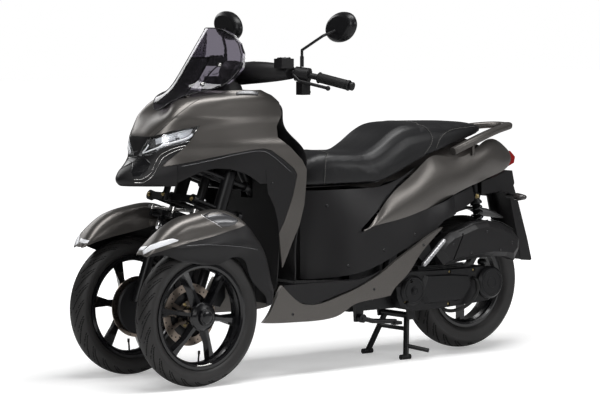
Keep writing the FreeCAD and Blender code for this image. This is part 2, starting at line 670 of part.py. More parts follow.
CASE_OUTLINE = [(-978, 240), (-974, 280), (-990, 318), (-1030, 338), (-1120, 334), (-1320, 332),
                (-1400, 336), (-1450, 328), (-1482, 300), (-1490, 264), (-1475, 225), (-1440, 200),
                (-1370, 194), (-1220, 186), (-1060, 184), (-1000, 196)]
CASE_PANEL = [(-1075, 262), (-1100, 318), (-1235, 314), (-1330, 304), (-1342, 264), (-1290, 208),
              (-1104, 206)]
CASE_SCREWS = [(-1030, 300), (-1231, 322), (-1226, 200), (-1010, 222), (-1352, 322)]
CLEANER_OUTLINE = [(-1124, 412), (-1168, 448), (-1206, 472), (-1240, 478), (-1330, 506),
                   (-1400, 511), (-1470, 498), (-1530, 468), (-1568, 430), (-1566, 392),
                   (-1542, 350), (-1500, 366), (-1420, 372), (-1320, 368), (-1180, 352)]
CLEANER_FACE = [(-1162, 410), (-1186, 434), (-1216, 452), (-1248, 460), (-1332, 484), (-1396, 487),
                (-1456, 476), (-1508, 450), (-1538, 424), (-1538, 400), (-1518, 380),
                (-1486, 386), (-1418, 392), (-1318, 386), (-1196, 374)]


def tapered_plate(low, high, y0, y1):
    """A plate whose outline changes from low at y0 to high at y1, with flat facets between."""
    wires = []
    for outline, y in ((low, y0), (high, y1)):
        points = [Vec(x, y, z) for x, z in outline]
        wires.append(Part.makePolygon(points + points[:1]))
    return loft(wires, True)


def shrunk(outline, share):
    """The same outline drawn smaller about its middle."""
    mx = sum(x for x, z in outline) / len(outline)
    mz = sum(z for x, z in outline) / len(outline)
    return [(mx + (x - mx) * share, mz + (z - mz) * share) for x, z in outline]


def cvt_cover():
    """The belt case on the left, from the crankcase back to the rear axle."""
    case = side_plate(CASE_OUTLINE, 92.3, 132)
    case = case.fuse(tapered_plate(CASE_OUTLINE, shrunk(CASE_OUTLINE, 0.95), 132, 142))
    panel = tapered_plate(CASE_PANEL, shrunk(CASE_PANEL, 0.88), 138, 156)
    ribs = [box(-1330, -1080, 96, 132, z, z + 3) for z in (335, 341, 347)]
    web = box(-1220, -1210, 100, 128, 330, 350)
    end = [rod((REAR_AXLE_X - 20, 130, 270), (REAR_AXLE_X - 20, 152, 270), 62),
           cone((REAR_AXLE_X - 20, 152, 270), (REAR_AXLE_X - 20, 160, 270), 62, 54)]
    front = [rod((-1045, 130, 262), (-1045, 146, 262), 58),
             cone((-1045, 146, 262), (-1045, 154, 262), 58, 50)]
    body = joined([case, panel, web] + ribs + end + front)
    for x, z in CASE_SCREWS:
        body = body.cut(rod((x, 134, z), (x, 170, z), 7))
    return body


def air_cleaner():
    """The filter box over the belt case: a deep body with a faceted lid."""
    case = side_plate(CLEANER_OUTLINE, 126, 164)
    lid = tapered_plate(CLEANER_OUTLINE, CLEANER_FACE, 163, 188)
    groove = side_plate([(-1190, 340), (-1196, 340), (-1290, 520), (-1284, 520)], 181, 200)
    foot = box(-1260, -1200, 128, 146, 350.3, 380)
    return joined([case, lid, foot]).cut(groove)


def muffler(motor):
    core = closed_loft([oval((-1150, -150, 300), (0, 1, 0), (0.1, 0, 1), 20, 24),
                        oval((-1210, -166, 318), (0, 1, 0), (0.1, 0, 1), 44, 58),
                        oval((-1400, -178, 352), (0, 1, 0), (0.1, 0, 1), 50, 66),
                        oval((-1560, -186, 386), (0, 1, 0), (0.1, 0, 1), 46, 58),
                        oval((-1590, -188, 392), (0, 1, 0), (0.1, 0, 1), 34, 44)])
    pipe = tube_run([(-744, 0, 214), (-740, -96, 196), (-840, -146, 196), (-1060, -146, 240),
                     (-1160, -150, 302)], 15)
    port = reach((-744, 0, 214), (-744, 0, 300), motor, 15)
    stay = reach((-1090, -140, 262), (-1090, -100, 262), motor, 8)
    return joined([core, pipe, port, stay])


def rear_shock():
    top, foot = (-1400, 96, 600), (-1436, 96, 343.6)
    body = rod(top, foot, 9)
    spring = rod((-1404, 96, 572), (-1428, 96, 402), 24)
    eye = rod((-1436, 84, 343.6), (-1436, 108, 343.6), 13)
    top_eye = rod((-1400, 84, 600), (-1400, 108, 600), 13)
    return joined([body, spring, eye, top_eye])


def hugger():
    """The inner rear mudguard over the front of the rear wheel."""
    outer, inner = [], []
    for i in range(11):
        t = math.radians(28 + 9.5 * i)
        outer.append((REAR_AXLE_X + 292 * math.cos(t), REAR_AXLE_Z + 292 * math.sin(t)))
        inner.append((REAR_AXLE_X + 287 * math.cos(t), REAR_AXLE_Z + 287 * math.sin(t)))
    guard = side_plate(outer + inner[::-1], -72, 72)
    stay = side_plate([(-1166, 404), (-1188, 446), (-1204, 452), (-1204, 436), (-1182, 398)], 68, 126 - SEAT_GAP)
    return joined([guard, stay])


# wheels
def tyre(radius, width, flange, bead, x, y, z):
    """A hollow tyre whose beads sit inside the rim's flanges."""
    half = width / 2
    seat = half * 0.62
    outer = [(bead + SEAT_GAP, -seat), (flange + 1, -seat), (flange + 12, -half * 0.88),
             (radius - 28, -half), (radius - 14, -half * 0.90), (radius - 4, -half * 0.55),
             (radius, 0)]
    outer = outer + [(r, -v) for r, v in outer[-2::-1]]
    inner = [(bead + SEAT_GAP, seat - 9), (flange + 6, seat - 5), (radius - 28, half - 6),
             (radius - 15, half * 0.45), (radius - 15, -half * 0.45), (radius - 28, 6 - half),
             (flange + 6, 5 - seat), (bead + SEAT_GAP, 9 - seat)]
    return turned([(r, v + y) for r, v in outer + inner], x, z)


def rim_barrel(width, flange, bead, well):
    """The rim's section: flanges, bead seats and the well between them."""
    seat = width / 2 * 0.62
    out = [(flange, seat + SEAT_GAP), (flange - 1, seat + 4), (bead, seat + 5), (bead - 8, seat + 1),
           (bead - 8, seat - 10), (well - 5, seat - 20)]
    top = [(bead, seat + SEAT_GAP), (bead, seat - 10), (well, seat - 15)]
    right = top[::-1] + out
    left = [(r, -v) for r, v in right[::-1]]
    return right + left


def front_rim(side):
    """Cast six-spoke wheel with its hub on the outside of the fork."""
    y0 = side * HALF_TRACK
    barrel = rim_barrel(FRONT_TYRE_WIDTH, FRONT_RIM_RADIUS, FRONT_BEAD_RADIUS, 168)
    rim = turned([(r, y0 + side * v) for r, v in barrel], 0, FRONT_AXLE_Z)
    hub = [(20, -54), (34, -54), (34, -40), (38, -20), (44, 14), (52, 30), (50, 40), (40, 48), (32, 50),
           (30, 57), (10.05, 57), (10.05, -54)]
    hub = turned([(r, y0 + side * v) for r, v in hub], 0, FRONT_AXLE_Z)
    spokes = []
    for k in range(6):
        spokes.append(spoke(side, y0, math.radians(9 + 60 * k), 36, 165))
    return joined([rim, hub] + spokes)


def spoke(side, y0, angle, r_hub, r_rim):
    """A blade that is deep and narrow at the hub, wide and thin at the rim."""
    radial = Vec(math.cos(angle), 0, math.sin(angle))
    tangent = Vec(-math.sin(angle), 0, math.cos(angle))
    centre = Vec(0, y0, FRONT_AXLE_Z)
    wires = []
    for r, half_width, low, high in ((r_hub - 4, 17, 6, 38), ((r_hub + r_rim) / 2, 12, 0, 27),
                                     (r_rim, 23, -8, 11)):
        base = centre + radial * r
        corners = [base + tangent * half_width + Y_AXIS * (side * low),
                   base + tangent * half_width * 0.62 + Y_AXIS * (side * high),
                   base - tangent * half_width * 0.30 + Y_AXIS * (side * high),
                   base - tangent * half_width + Y_AXIS * (side * low)]
        wires.append(Part.makePolygon(corners + corners[:1]))
    return loft(wires, True)


def brake_disc(side):
    y0 = side * 160.0
    ring = [(DISC_RADIUS, 2), (DISC_RADIUS, -2), (82, -2), (82, 2)]
    ring = turned([(r, y0 + v) for r, v in ring], 0, FRONT_AXLE_Z)
    arms = [turned([(50, y0 - 2), (34.2, y0 - 2), (34.2, y0 + 2), (50, y0 + 2)], 0, FRONT_AXLE_Z)]
    for k in range(6):
        t = math.radians(30 + 60 * k)
        bar = Part.makeBox(44, 4, 14, Vec(44, y0 - 2, FRONT_AXLE_Z - 7))
        bar.rotate(Vec(0, 0, FRONT_AXLE_Z), Y_AXIS, math.degrees(t))
        arms.append(bar)
    return joined([ring] + arms)


def rear_rim():
    barrel = rim_barrel(REAR_TYRE_WIDTH, REAR_RIM_RADIUS, REAR_BEAD_RADIUS, 154)
    rim = turned(barrel, REAR_AXLE_X, REAR_AXLE_Z)
    hub = turned([(36, -60), (44, 0), (40, 70), (12.05, 70), (12.05, -60)], REAR_AXLE_X,
                 REAR_AXLE_Z)
    spokes = []
    for k in range(5):
        t = math.radians(18 + 72 * k)
        bar = Part.makeBox(130, 26, 22, Vec(REAR_AXLE_X + 24, -13, REAR_AXLE_Z - 11))
        bar.rotate(Vec(REAR_AXLE_X, 0, REAR_AXLE_Z), Y_AXIS, math.degrees(t))
        spokes.append(bar)
    return joined([rim, hub] + spokes)


# leaning front linkage
def lean_arm(h):
    """Front and rear plates round the column, joined by two spacers, with bored ends."""
    plates = []
    for a0, a1 in ((112, 128), (-92, -76)):
        bar = Part.makeBox(a1 - a0, 2 * KINGPIN_Y, 26, Vec(0, 0, 0))
        bar.rotate(Vec(0, 0, 0), Y_AXIS, -CASTER_DEG)
        bar.translate(fork(a0, -KINGPIN_Y, h - 13))
        plates.append(bar)
        for y in (-KINGPIN_Y, 0, KINGPIN_Y):
            plates.append(rod(fork(a0, y, h), fork(a1, y, h), 18))
    for y in (-62, 62):
        plates.append(rod(fork(-80, y, h), fork(116, y, h), 9))
    arm = joined(plates)
    for y in (-KINGPIN_Y, 0, KINGPIN_Y):
        arm = arm.cut(rod(fork(-120, y, h), fork(160, y, h), PIVOT_PIN_RADIUS + RUNNING_GAP))
    return arm


def steering_link(side):
    """The upright between the two arms: a tube for the wheel's steering stem, with four pins."""
    y = side * KINGPIN_Y
    body = [rod(fork(0, y, 367), fork(0, y, 512), 24)]
    for h in (LOWER_PIVOT_H, UPPER_PIVOT_H):
        radius = PIVOT_PIN_RADIUS
        if h == LOWER_PIVOT_H:
            # the loop is opened here, so this pin has a little more room in the arm
            radius = PIVOT_PIN_RADIUS - 0.25
        body.append(rod(fork(0, y, h), fork(130, y, h), radius))
        body.append(rod(fork(0, y, h), fork(-94, y, h), radius))
    link = joined(body)
    return link.cut(rod(fork(0, y, 350), fork(0, y, 530), STEM_RADIUS + RUNNING_GAP))


def knuckle(side):
    """Stem, yoke, two telescopic legs, hub carrier, caliper and steering arm for one wheel."""
    y = side * KINGPIN_Y
    stem = rod(fork(0, y, 345), fork(0, y, 520), STEM_RADIUS)
    cap = rod(fork(0, y, 513), fork(0, y, 522), 19)
    yoke = Part.makeBox(106, 46, 30, Vec(0, -23, 0))
    yoke.rotate(Vec(0, 0, 0), Y_AXIS, -CASTER_DEG)
    yoke.translate(fork(-38, y, 331))
    legs = []
    for a in (52, -14):
        legs.append(rod(fork(a, y, 358), fork(a, y, 150), 13))
        legs.append(rod(fork(a, y, 262), fork(a, y, 2), 18))
    carrier = turned([(0, side * 134), (92, side * 134), (98, side * 138), (98, side * 144),
                      (60, side * 150), (0, side * 150)], 0, FRONT_AXLE_Z)
    axle = rod((0, side * 140, FRONT_AXLE_Z), (0, side * 256, FRONT_AXLE_Z), 10)
    arm = rod(fork(0, y, 338), fork(ROD_PIVOT_A, y, 322), 9)
    stud = rod(fork(ROD_PIVOT_A, y, 320), fork(ROD_PIVOT_A, y, ROD_PIVOT_H), 4)
    ball_end = ball(fork(ROD_PIVOT_A, y, ROD_PIVOT_H), 9)
    caliper = side_plate([(-88, 322), (-120, 362), (-150, 348), (-152, 300), (-128, 268),
                          (-96, 276)], min(side * 146, side * 167), max(side * 146, side * 167))
    slot = side_plate([(-60, 400), (-135, 330), (-112, 240), (-60, 240)], min(side * 156, side * 164), max(side * 156, side * 164))
    caliper = caliper.cut(slot)
    ear = side_plate([(-60, 268), (-62, 312), (-130, 330), (-126, 280)],
                     min(side * 140, side * 152), max(side * 140, side * 152))
    caliper = caliper.fuse(ear)
    return joined([stem, cap, yoke, carrier, axle, arm, stud, ball_end, caliper] + legs)


FENDER_STATIONS = [
    # crown x and z, slant in degrees, half width, bulge, then depths below the crown: inner
    # edge, shoulder, crest and lower end of the outer flank; last, how far the middle is
    # drawn towards the machine
    (232, 479, 0, 25, 0, 5, 3, 5, 7, 14),
    (215, 502, 0, 38, 0, 24, 20, 24, 30, 9),
    (182, 536, 0, 47, 0, 48, 45, 50, 60, 3),
    (120, 580, 0, 51, 2, 76, 72, 79, 124, 0),
    (40, 606, 0, 52, 6, 92, 90, 101, 168, 0),
    (-40, 618, 2, 52, 9, 90, 86, 114, 187, 0),
    (-110, 614, 10, 52, 9, 67, 69, 120, 179, 0),
    (-178, 576, 30, 52, 8, 18, 24, 103, 147, 0),
    (-238, 506, 55, 52, 5, 12, 16, 44, 102, 0),
    (-275, 430, 75, 52, 2, 9, 10, 24, 96, 0),
    (-296, 350, 85, 52, 0, 8, 9, 20, 76, 0),
    (-298, 274, 92, 52, 0, 6, 7, 14, 36, 0),
]
# Side outline of the painted roof, whose lower line runs from the tip up to the rear corner.
FENDER_ROOF = [(300, 380), (262, 440), (214, 482), (171, 494), (112, 507), (-34, 531), (-150, 556),
               (-186, 566), (-204, 590), (-204, 700), (300, 700)]


def fender_shell(side):
    """The whole guard: a roof over the tyre, an outer flank with a crest, and a rear skirt."""
    wires = []
    for x, z, slant, w, bulge, inner_edge, shoulder, crest, low, drawn in FENDER_STATIONS:
        across = [(-w, inner_edge), (-w * 0.93, shoulder * 0.45), (-w * 0.55, shoulder * 0.08),
                  (0, 0), (w * 0.55, shoulder * 0.10), (w * 0.93, shoulder * 0.50), (w, shoulder),
                  (w + bulge, crest), (w + bulge * 0.4, (crest + low) / 2), (w, low)]
        down = Vec(math.sin(math.radians(slant)), 0, -math.cos(math.radians(slant)))
        rings = []
        for line in (across, inward(across, 3.0, -1.0)):
            points = [Vec(x, side * (HALF_TRACK + 3 - drawn + v), z) + down * d for v, d in line]
            rings.append([(p.x, p.y, p.z) for p in points])
        wires.append(ribbon(rings[0], rings[1]))
    return loft(wires)


def fender(shell, side):
    """The painted roof of the guard, with the lug that the fork leg carries."""
    roof = shell.common(side_plate(FENDER_ROOF, side * 208 - 90, side * 208 + 90))
    near, far = sorted((side * 143.4, side * 159))
    lug = side_plate([(-92, 540), (-48, 540), (-52, 562), (-88, 562)], near, far)
    return joined([roof, lug])


def fender_skirt(shell, side):
    """The black flank and skirt that hang under the roof."""
    seam = [(x, z - SEAT_GAP) for x, z in FENDER_ROOF[:7]]
    seam += [(x - SEAT_GAP, z - SEAT_GAP) for x, z in FENDER_ROOF[7:]]
    skirt = shell.cut(side_plate(seam, side * 208 - 90, side * 208 + 90))
    return max(skirt.Solids, key=lambda piece: piece.Volume)


# steering
def handlebar():
    """Column, bar, cover, grips, levers and switch blocks: they turn as one."""
    column = rod(fork(0, 0, 318), fork(0, 0, 886), STEM_RADIUS + 2)
    pitman = rod(fork(0, 0, 322), fork(ROD_PIVOT_A, 0, 322), 9)
    eye = rod(fork(ROD_PIVOT_A, 0, 314), fork(ROD_PIVOT_A, 0, 330), 12)
    bar = [(-372, 0, 1078), (-392, 110, 1098), (-440, 196, 1090), (-482, 256, 1078),
           (-548, 375, 1047)]
    left = [tube_run(bar, 11), rod((-489, 270, 1075), (-548, 375, 1047), 17),
            closed_loft([oval((-352, 0, 1084), (0, 0, 1), (1, 0, 0), 40, 42),
                         oval((-360, 70, 1090), (0, 0, 1), (1, 0, 0), 40, 40),
                         oval((-392, 140, 1092), (0, 0, 1), (1, 0, 0), 34, 34),
                         oval((-424, 196, 1092), (0, 0, 1), (1, 0, 0), 24, 24)]),
            rod((-440, 205, 1088), (-466, 250, 1082), 26),
            box(-415, -360, 180, 225, 1108, 1142),
            box(-478, -440, 205, 240, 1012, 1060),
            tube_run([(-420, 215, 1084), (-428, 240, 1062), (-478, 340, 1038)], 6),
            ball((-478, 340, 1038), 9)]
    body = joined([column, pitman, eye] + left + [mirrored(s) for s in left])
    return body.cut(rod(fork(ROD_PIVOT_A, 0, 300), fork(ROD_PIVOT_A, 0, 340), 5 + RUNNING_GAP))


def mirror_left(bar):
    foot = reach((-449, 228, 1150), (-449, 228, 1060), bar, 7)
    stem = tube_run([(-449, 228, 1150), (-449, 228, 1172), (-487, 300, 1223), (-530, 330, 1246)], 5)
    head = closed_loft([oval((-520, 335, 1254), (0, 1, 0.25), (0, -0.25, 1), 58, 36),
                        oval((-536, 335, 1254), (0, 1, 0.25), (0, -0.25, 1), 76, 50),
                        oval((-552, 335, 1254), (0, 1, 0.25), (0, -0.25, 1), 76, 50)])
    return joined([foot, stem, head])


def ball_stud():
    """The swivel between the column's arm and the track rod."""
    pin = rod(fork(ROD_PIVOT_A, 0, 312), fork(ROD_PIVOT_A, 0, ROD_PIVOT_H), 5)
    return joined([pin, ball(fork(ROD_PIVOT_A, 0, ROD_PIVOT_H), 9)])


def track_rod():
    rings = []
    for y in (-KINGPIN_Y, 0, KINGPIN_Y):
        rings.append(rod(fork(ROD_PIVOT_A, y, ROD_PIVOT_H - 7), fork(ROD_PIVOT_A, y, ROD_PIVOT_H + 7), 15))
    bar = rod(fork(ROD_PIVOT_A, -KINGPIN_Y, ROD_PIVOT_H), fork(ROD_PIVOT_A, KINGPIN_Y, ROD_PIVOT_H), 6)
    body = joined([bar] + rings)
    for y in (-KINGPIN_Y, 0, KINGPIN_Y):
        body = body.cut(rod(fork(ROD_PIVOT_A, y, ROD_PIVOT_H - 20),
                            fork(ROD_PIVOT_A, y, ROD_PIVOT_H + 20), 9.06))
    return body


# stands
def centre_stand():
    px, pz = STAND_PIVOT
    cross = rod((px, -81.5, pz), (px, 81.5, pz), 12)
    left = [rod((px, 62, pz), (px + 46, 112, 11), 11),
            rod((px + 46 - 20, 112, 10), (px + 46 + 26, 112, 10), 10),
            rod((px + 34, 104, 50), (px - 20, 168, 34), 8)]
    brace = rod((px + 15, -76, 110), (px + 15, 76, 110), 8)
    body = joined([cross, brace] + left + [mirrored(s) for s in left[:2]])
    return body.cut(rod((px, -120, pz), (px, 120, pz), 8 + RUNNING_GAP))


def stand_bracket():
    px, pz = STAND_PIVOT
    pin = rod((px, -91.5, pz), (px, 91.5, pz), 8)
    ears = []
    for sign in (1, -1):
        y0, y1 = sorted((sign * 83, sign * 91.5))
        ears.append(side_plate([(px - 18, pz - 14), (px + 16, pz - 14), (px + 30, 230),
                                (px - 10, 230)], y0, y1))
    return joined([pin] + ears)


def side_stand():
    px, pz = SIDE_STAND_PIVOT
    leg = tube_run([(px, 140, pz), (px - 44, 150, pz - 12), (px - 148, 160, pz - 20)], 9)
    foot = box(px - 168, px - 134, 148, 174, pz - 32, pz - 20)
    eye = rod((px, 132, pz), (px, 150, pz), 16)
    body = joined([leg, foot, eye])
    return body.cut(rod((px, 120, pz), (px, 170, pz), 6 + RUNNING_GAP))


def main():
    os.makedirs("parts", exist_ok=True)
    shell = nose_shell()
    wrap = shield_shell()
    tail = pair(tail_cowl())
    motor = engine()
    screen = windscreen()
    covers = {
        "front_cowl": front_cowl(shell, screen),
        "side_cowls": pair(side_cowl(shell, wrap)),
        "arch_panels": pair(arch_panel(shell, wrap)),
        "headlights": pair(headlight(shell)),
        "nose_face": nose_face(shell),
        "leg_shield": leg_shield(),
        "bulkhead": bulkhead(),
        "floorboard": floorboard(),
        "sills": pair(sill()),
        "body_cover": body_cover(),
        "storage_box": storage_box(),
        "tail_cowls": tail,
        "tail_lamp": tail_lamp(),
        "rear_fender": rear_fender(),
        "engine": motor,
    }
    for name, shape in covers.items():
        save(name, shape)
    save("frame", frame(covers))
    save("windscreen", screen)
    save("grab_bar", grab_bar(tail))
    save("seat", seat())
    save("cvt_cover", cvt_cover())
    save("air_cleaner", air_cleaner())
    save("muffler", muffler(motor))
    save("rear_shocks", pair(rear_shock()))
    save("hugger", hugger())
    save("rear_rim", rear_rim())
    save("rear_tyre", tyre(REAR_TYRE_RADIUS, REAR_TYRE_WIDTH, REAR_RIM_RADIUS,
                           REAR_BEAD_RADIUS, REAR_AXLE_X, 0, REAR_AXLE_Z))
    save("centre_stand", centre_stand())
    save("side_stand", side_stand())
    save("upper_arm", lean_arm(UPPER_PIVOT_H))
    save("lower_arm", lean_arm(LOWER_PIVOT_H))
    for word, side in (("left", 1), ("right", -1)):
        save("link_" + word, steering_link(side))
        save("knuckle_" + word, knuckle(side))
        save("rim_" + word, front_rim(side))
        save("disc_" + word, brake_disc(side))
        save("tyre_" + word, tyre(FRONT_TYRE_RADIUS, FRONT_TYRE_WIDTH, FRONT_RIM_RADIUS,
                                  FRONT_BEAD_RADIUS, 0, side * HALF_TRACK, FRONT_AXLE_Z))
        guard = fender_shell(side)
        save("fender_" + word, fender(guard, side))
        save("fender_skirt_" + word, fender_skirt(guard, side))
    bar = handlebar()
    save("handlebar", bar)
    save("mirrors", pair(mirror_left(bar)))
    save("ball_stud", ball_stud())
    save("track_rod", track_rod())


main()
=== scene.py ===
# %% [markdown]
# # Dressing a leaning three-wheeled scooter
# The machine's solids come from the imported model. This lesson gives every one of them a finish,
# and adds what is too small or too soft for solids: the stitched seat, the tyre tread, the lamps'
# insides, screws and trim. Blender works in metres. Most places here are written in millimetres
# from the ground under the front axle, as on a workshop drawing, because such numbers are easy
# to read and check, and `at` turns them into the model's own frame.

# %% Load the fixed frame
import bpy
import math
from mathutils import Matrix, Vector
from mathutils.bvhtree import BVHTree


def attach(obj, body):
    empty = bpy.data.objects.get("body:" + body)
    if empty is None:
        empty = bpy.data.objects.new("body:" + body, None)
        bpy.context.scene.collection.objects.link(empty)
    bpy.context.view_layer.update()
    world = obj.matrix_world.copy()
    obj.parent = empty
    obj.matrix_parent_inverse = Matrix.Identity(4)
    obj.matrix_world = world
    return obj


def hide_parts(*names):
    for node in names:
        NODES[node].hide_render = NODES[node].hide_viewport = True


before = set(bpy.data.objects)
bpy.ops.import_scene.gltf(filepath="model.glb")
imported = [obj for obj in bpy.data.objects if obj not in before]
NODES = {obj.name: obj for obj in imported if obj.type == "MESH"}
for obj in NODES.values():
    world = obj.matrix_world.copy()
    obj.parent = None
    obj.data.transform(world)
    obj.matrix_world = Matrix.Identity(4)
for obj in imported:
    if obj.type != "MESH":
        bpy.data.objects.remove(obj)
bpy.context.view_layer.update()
AXLE_X, AXLE_Z = 740.0, 250.0    # the front axle, ahead of the origin and above the ground
TRACK_HALF = 205.0               # from the machine's middle to the middle of a front wheel
REAR_AXLE = (-1410.0, 0.0, 264.0)
CASTER = math.radians(20)        # how far the steering axes lean back
KINGPIN_X = 68.0 - AXLE_Z * math.tan(CASTER)


def at(x, y, z):
    """A drawing point in millimetres, as a point of the model."""
    return Vector(((x + AXLE_X) / 1000, y / 1000, z / 1000))


def fork(a, y, h):
    """A point beside the steering axis: a ahead of it, h up along it from axle height."""
    x = KINGPIN_X + a * math.cos(CASTER) - h * math.sin(CASTER)
    return at(x, y, AXLE_Z + a * math.sin(CASTER) + h * math.cos(CASTER))


# %% [markdown]
# ## Camera
# The camera stands where the photographer stood: front left, a little above the seat, about ten
# metres away with a long lens, which keeps near and far wheels almost the same size. It could be
# set by eye. Here its place was solved from the outlines of the three tyres, so that a spot in
# the picture can be sent back onto the machine as a ray.

# %% Place the camera
LENS, SENSOR, IMAGE_WIDE, IMAGE_HIGH = 160.74, 36.0, 600, 400   # millimetres, then pixels
camera = bpy.data.objects.new("camera", bpy.data.cameras.new("camera"))
bpy.context.scene.collection.objects.link(camera)
camera.location = (6.2129, 7.7376, 1.3510)
yaw, pitch = math.radians(-128.217), math.radians(-4.275)
look = Vector((math.cos(pitch) * math.cos(yaw), math.cos(pitch) * math.sin(yaw), math.sin(pitch)))
camera.rotation_euler = look.to_track_quat("-Z", "Y").to_euler()
camera.data.sensor_width = SENSOR
camera.data.lens = LENS
camera.data.clip_end = 60.0
bpy.context.scene.camera = camera
print("camera looks along", [round(v, 3) for v in look])

# %% [markdown]
# ## Nodes in short
# A material is a small network: nodes make colours and numbers, and links carry them to the
# shader. Written out in full, each recipe takes a page. Three helpers keep them short: one starts
# a material, one adds a node with its fixed values, and one draws the links.

# %% Helpers for nodes
def new_material(name):
    material = bpy.data.materials.new(name)
    material.use_nodes = True
    return material, material.node_tree, material.node_tree.nodes["Principled BSDF"]


def add_node(tree, kind, operation=None, **values):
    node = tree.nodes.new("ShaderNode" + kind)
    if operation:
        node.operation = operation
    for label, value in values.items():
        node.inputs[label].default_value = value
    return node


def join(tree, *pairs):
    for source, target in pairs:
        tree.links.new(source, target)


print("node helpers ready")

# %% [markdown]
# ## Studio
# A product studio has a pale floor that runs into the background, one broad soft lamp above, and
# soft strips at the sides that draw long highlights along the panels. A curved backdrop would do
# for the floor. A flat one is simpler: it glows white for the camera alone, more so far away, so
# its edge melts into the white world and the shadow under the wheels stays.

# %% Floor
bpy.context.scene.view_settings.view_transform = "Standard"


def studio_floor(s=30.0):
    mesh = bpy.data.meshes.new("floor")
    mesh.from_pydata([(-s, -s, 0), (s, -s, 0), (s, s, 0), (-s, s, 0)], [], [(0, 1, 2, 3)])
    floor = bpy.data.objects.new("floor", mesh)
    bpy.context.scene.collection.objects.link(floor)
    material, tree, shader = new_material("floor")
    shader.inputs["Base Color"].default_value = (0.90, 0.90, 0.90, 1)
    shader.inputs["Roughness"].default_value = 0.8
    shader.inputs["Emission Color"].default_value = (1, 1, 1, 1)
    place = add_node(tree, "TexCoord")
    far = add_node(tree, "VectorMath", "LENGTH")
    glow = add_node(tree, "MapRange",
                    **{"From Min": 1.2, "From Max": 4.0, "To Min": 0.30, "To Max": 1.0})
    path = add_node(tree, "LightPath")
    strength = add_node(tree, "Math", "MULTIPLY")
    join(tree, (place.outputs["Object"], far.inputs[0]),
         (far.outputs["Value"], glow.inputs["Value"]),
         (glow.outputs["Result"], strength.inputs[0]),
         (path.outputs["Is Camera Ray"], strength.inputs[1]),
         (strength.outputs[0], shader.inputs["Emission Strength"]))
    mesh.materials.append(material)


studio_floor()
print("floor laid")

# %% World and lamps
def studio_world():
    """White for the camera and through glass, and a weak even light for everything else."""
    world = bpy.data.worlds.new("studio")
    bpy.context.scene.world = world
    world.use_nodes = True
    tree = world.node_tree
    background = tree.nodes["Background"]
    background.inputs["Color"].default_value = (1, 1, 1, 1)
    path = add_node(tree, "LightPath")
    shown = add_node(tree, "Math", "MAXIMUM")
    strength = add_node(tree, "MapRange", **{"To Min": 0.10, "To Max": 1.0})
    join(tree, (path.outputs["Is Camera Ray"], shown.inputs[0]),
         (path.outputs["Is Transmission Ray"], shown.inputs[1]),
         (shown.outputs[0], strength.inputs["Value"]),
         (strength.outputs["Result"], background.inputs["Strength"]))


def soft_lamp(name, place, target, width, height, power):
    light = bpy.data.lights.new(name, "AREA")
    light.shape = "RECTANGLE"
    light.size, light.size_y, light.energy = width, height, power
    lamp = bpy.data.objects.new(name, light)
    bpy.context.scene.collection.objects.link(lamp)
    lamp.location = place
    aim = Vector(target) - Vector(place)
    lamp.rotation_euler = aim.to_track_quat("-Z", "Y").to_euler()


studio_world()
soft_lamp("lamp_above", (0.0, 0.8, 4.4), (0, 0, 0.4), 4.2, 1.6, 185)
soft_lamp("lamp_front_left", (3.8, 3.2, 2.4), (0.3, 0, 0.6), 0.9, 2.4, 62)
soft_lamp("lamp_left", (-2.6, 4.2, 2.4), (-0.4, 0, 0.6), 2.6, 0.9, 58)
soft_lamp("lamp_right", (0.5, -4.4, 3.0), (0, 0, 0.6), 3.2, 1.2, 45)
print("lamps", len(bpy.data.lights))

# %% [markdown]
# ## Shared surface effects
# Every moulded or cast part has a fine texture, and every handled part has small changes of gloss.
# Both could be painted as images. Node groups are better here: each is built once, stays sharp at
# any distance, and is placed in a material with its own scale and strength.

# %% Start of a node group
def group(name, given, made):
    """A node group with named inputs and their usual values, and named outputs."""
    tree = bpy.data.node_groups.new(name, "ShaderNodeTree")
    for label, value in given.items():
        kind = "NodeSocketColor" if isinstance(value, tuple) else "NodeSocketFloat"
        socket = tree.interface.new_socket(label, in_out="INPUT", socket_type=kind)
        socket.default_value = value
    for label, kind in made.items():
        tree.interface.new_socket(label, in_out="OUTPUT", socket_type="NodeSocket" + kind)
    return tree, tree.nodes.new("NodeGroupInput").outputs, tree.nodes.new("NodeGroupOutput").inputs


def place_group(tree, effect, **values):
    node = add_node(tree, "Group")
    node.node_tree = effect
    for label, value in values.items():
        node.inputs[label].default_value = value
    return node


print("group helpers ready")

# %% [markdown]
# Moulded plastic, rubber and leather take their grain from the mould or the hide: small rounded
# cells. A smooth Voronoi pattern gives the cells, some noise breaks their order, and a bump node
# turns both into a normal, which costs no triangles.

# %% Node group: fine grain
def grain_group():
    tree, given, made = group("fine_grain", {"Scale": 900.0, "Depth": 0.2, "Softness": 0.5},
                              {"Normal": "Vector"})
    place = add_node(tree, "TexCoord").outputs["Object"]
    cells = add_node(tree, "TexVoronoi")
    cells.feature = "SMOOTH_F1"
    noise = add_node(tree, "TexNoise", Detail=3.0)
    mix = add_node(tree, "Mix")
    bump = add_node(tree, "Bump", Distance=0.0006)
    join(tree, (place, cells.inputs["Vector"]), (place, noise.inputs["Vector"]),
         (given["Scale"], cells.inputs["Scale"]), (given["Scale"], noise.inputs["Scale"]),
         (given["Softness"], mix.inputs[0]), (cells.outputs["Distance"], mix.inputs[2]),
         (noise.outputs["Fac"], mix.inputs[3]), (mix.outputs[0], bump.inputs["Height"]),
         (given["Depth"], bump.inputs["Strength"]), (bump.outputs["Normal"], made["Normal"]))
    return tree


GRAIN = grain_group()
print("grain has", len(GRAIN.nodes), "nodes")

# %% [markdown]
# No real surface is equally glossy all over. Hands, dust and the spray gun leave broad patches.
# One slow noise moves the roughness between two values and darkens the colour a little.

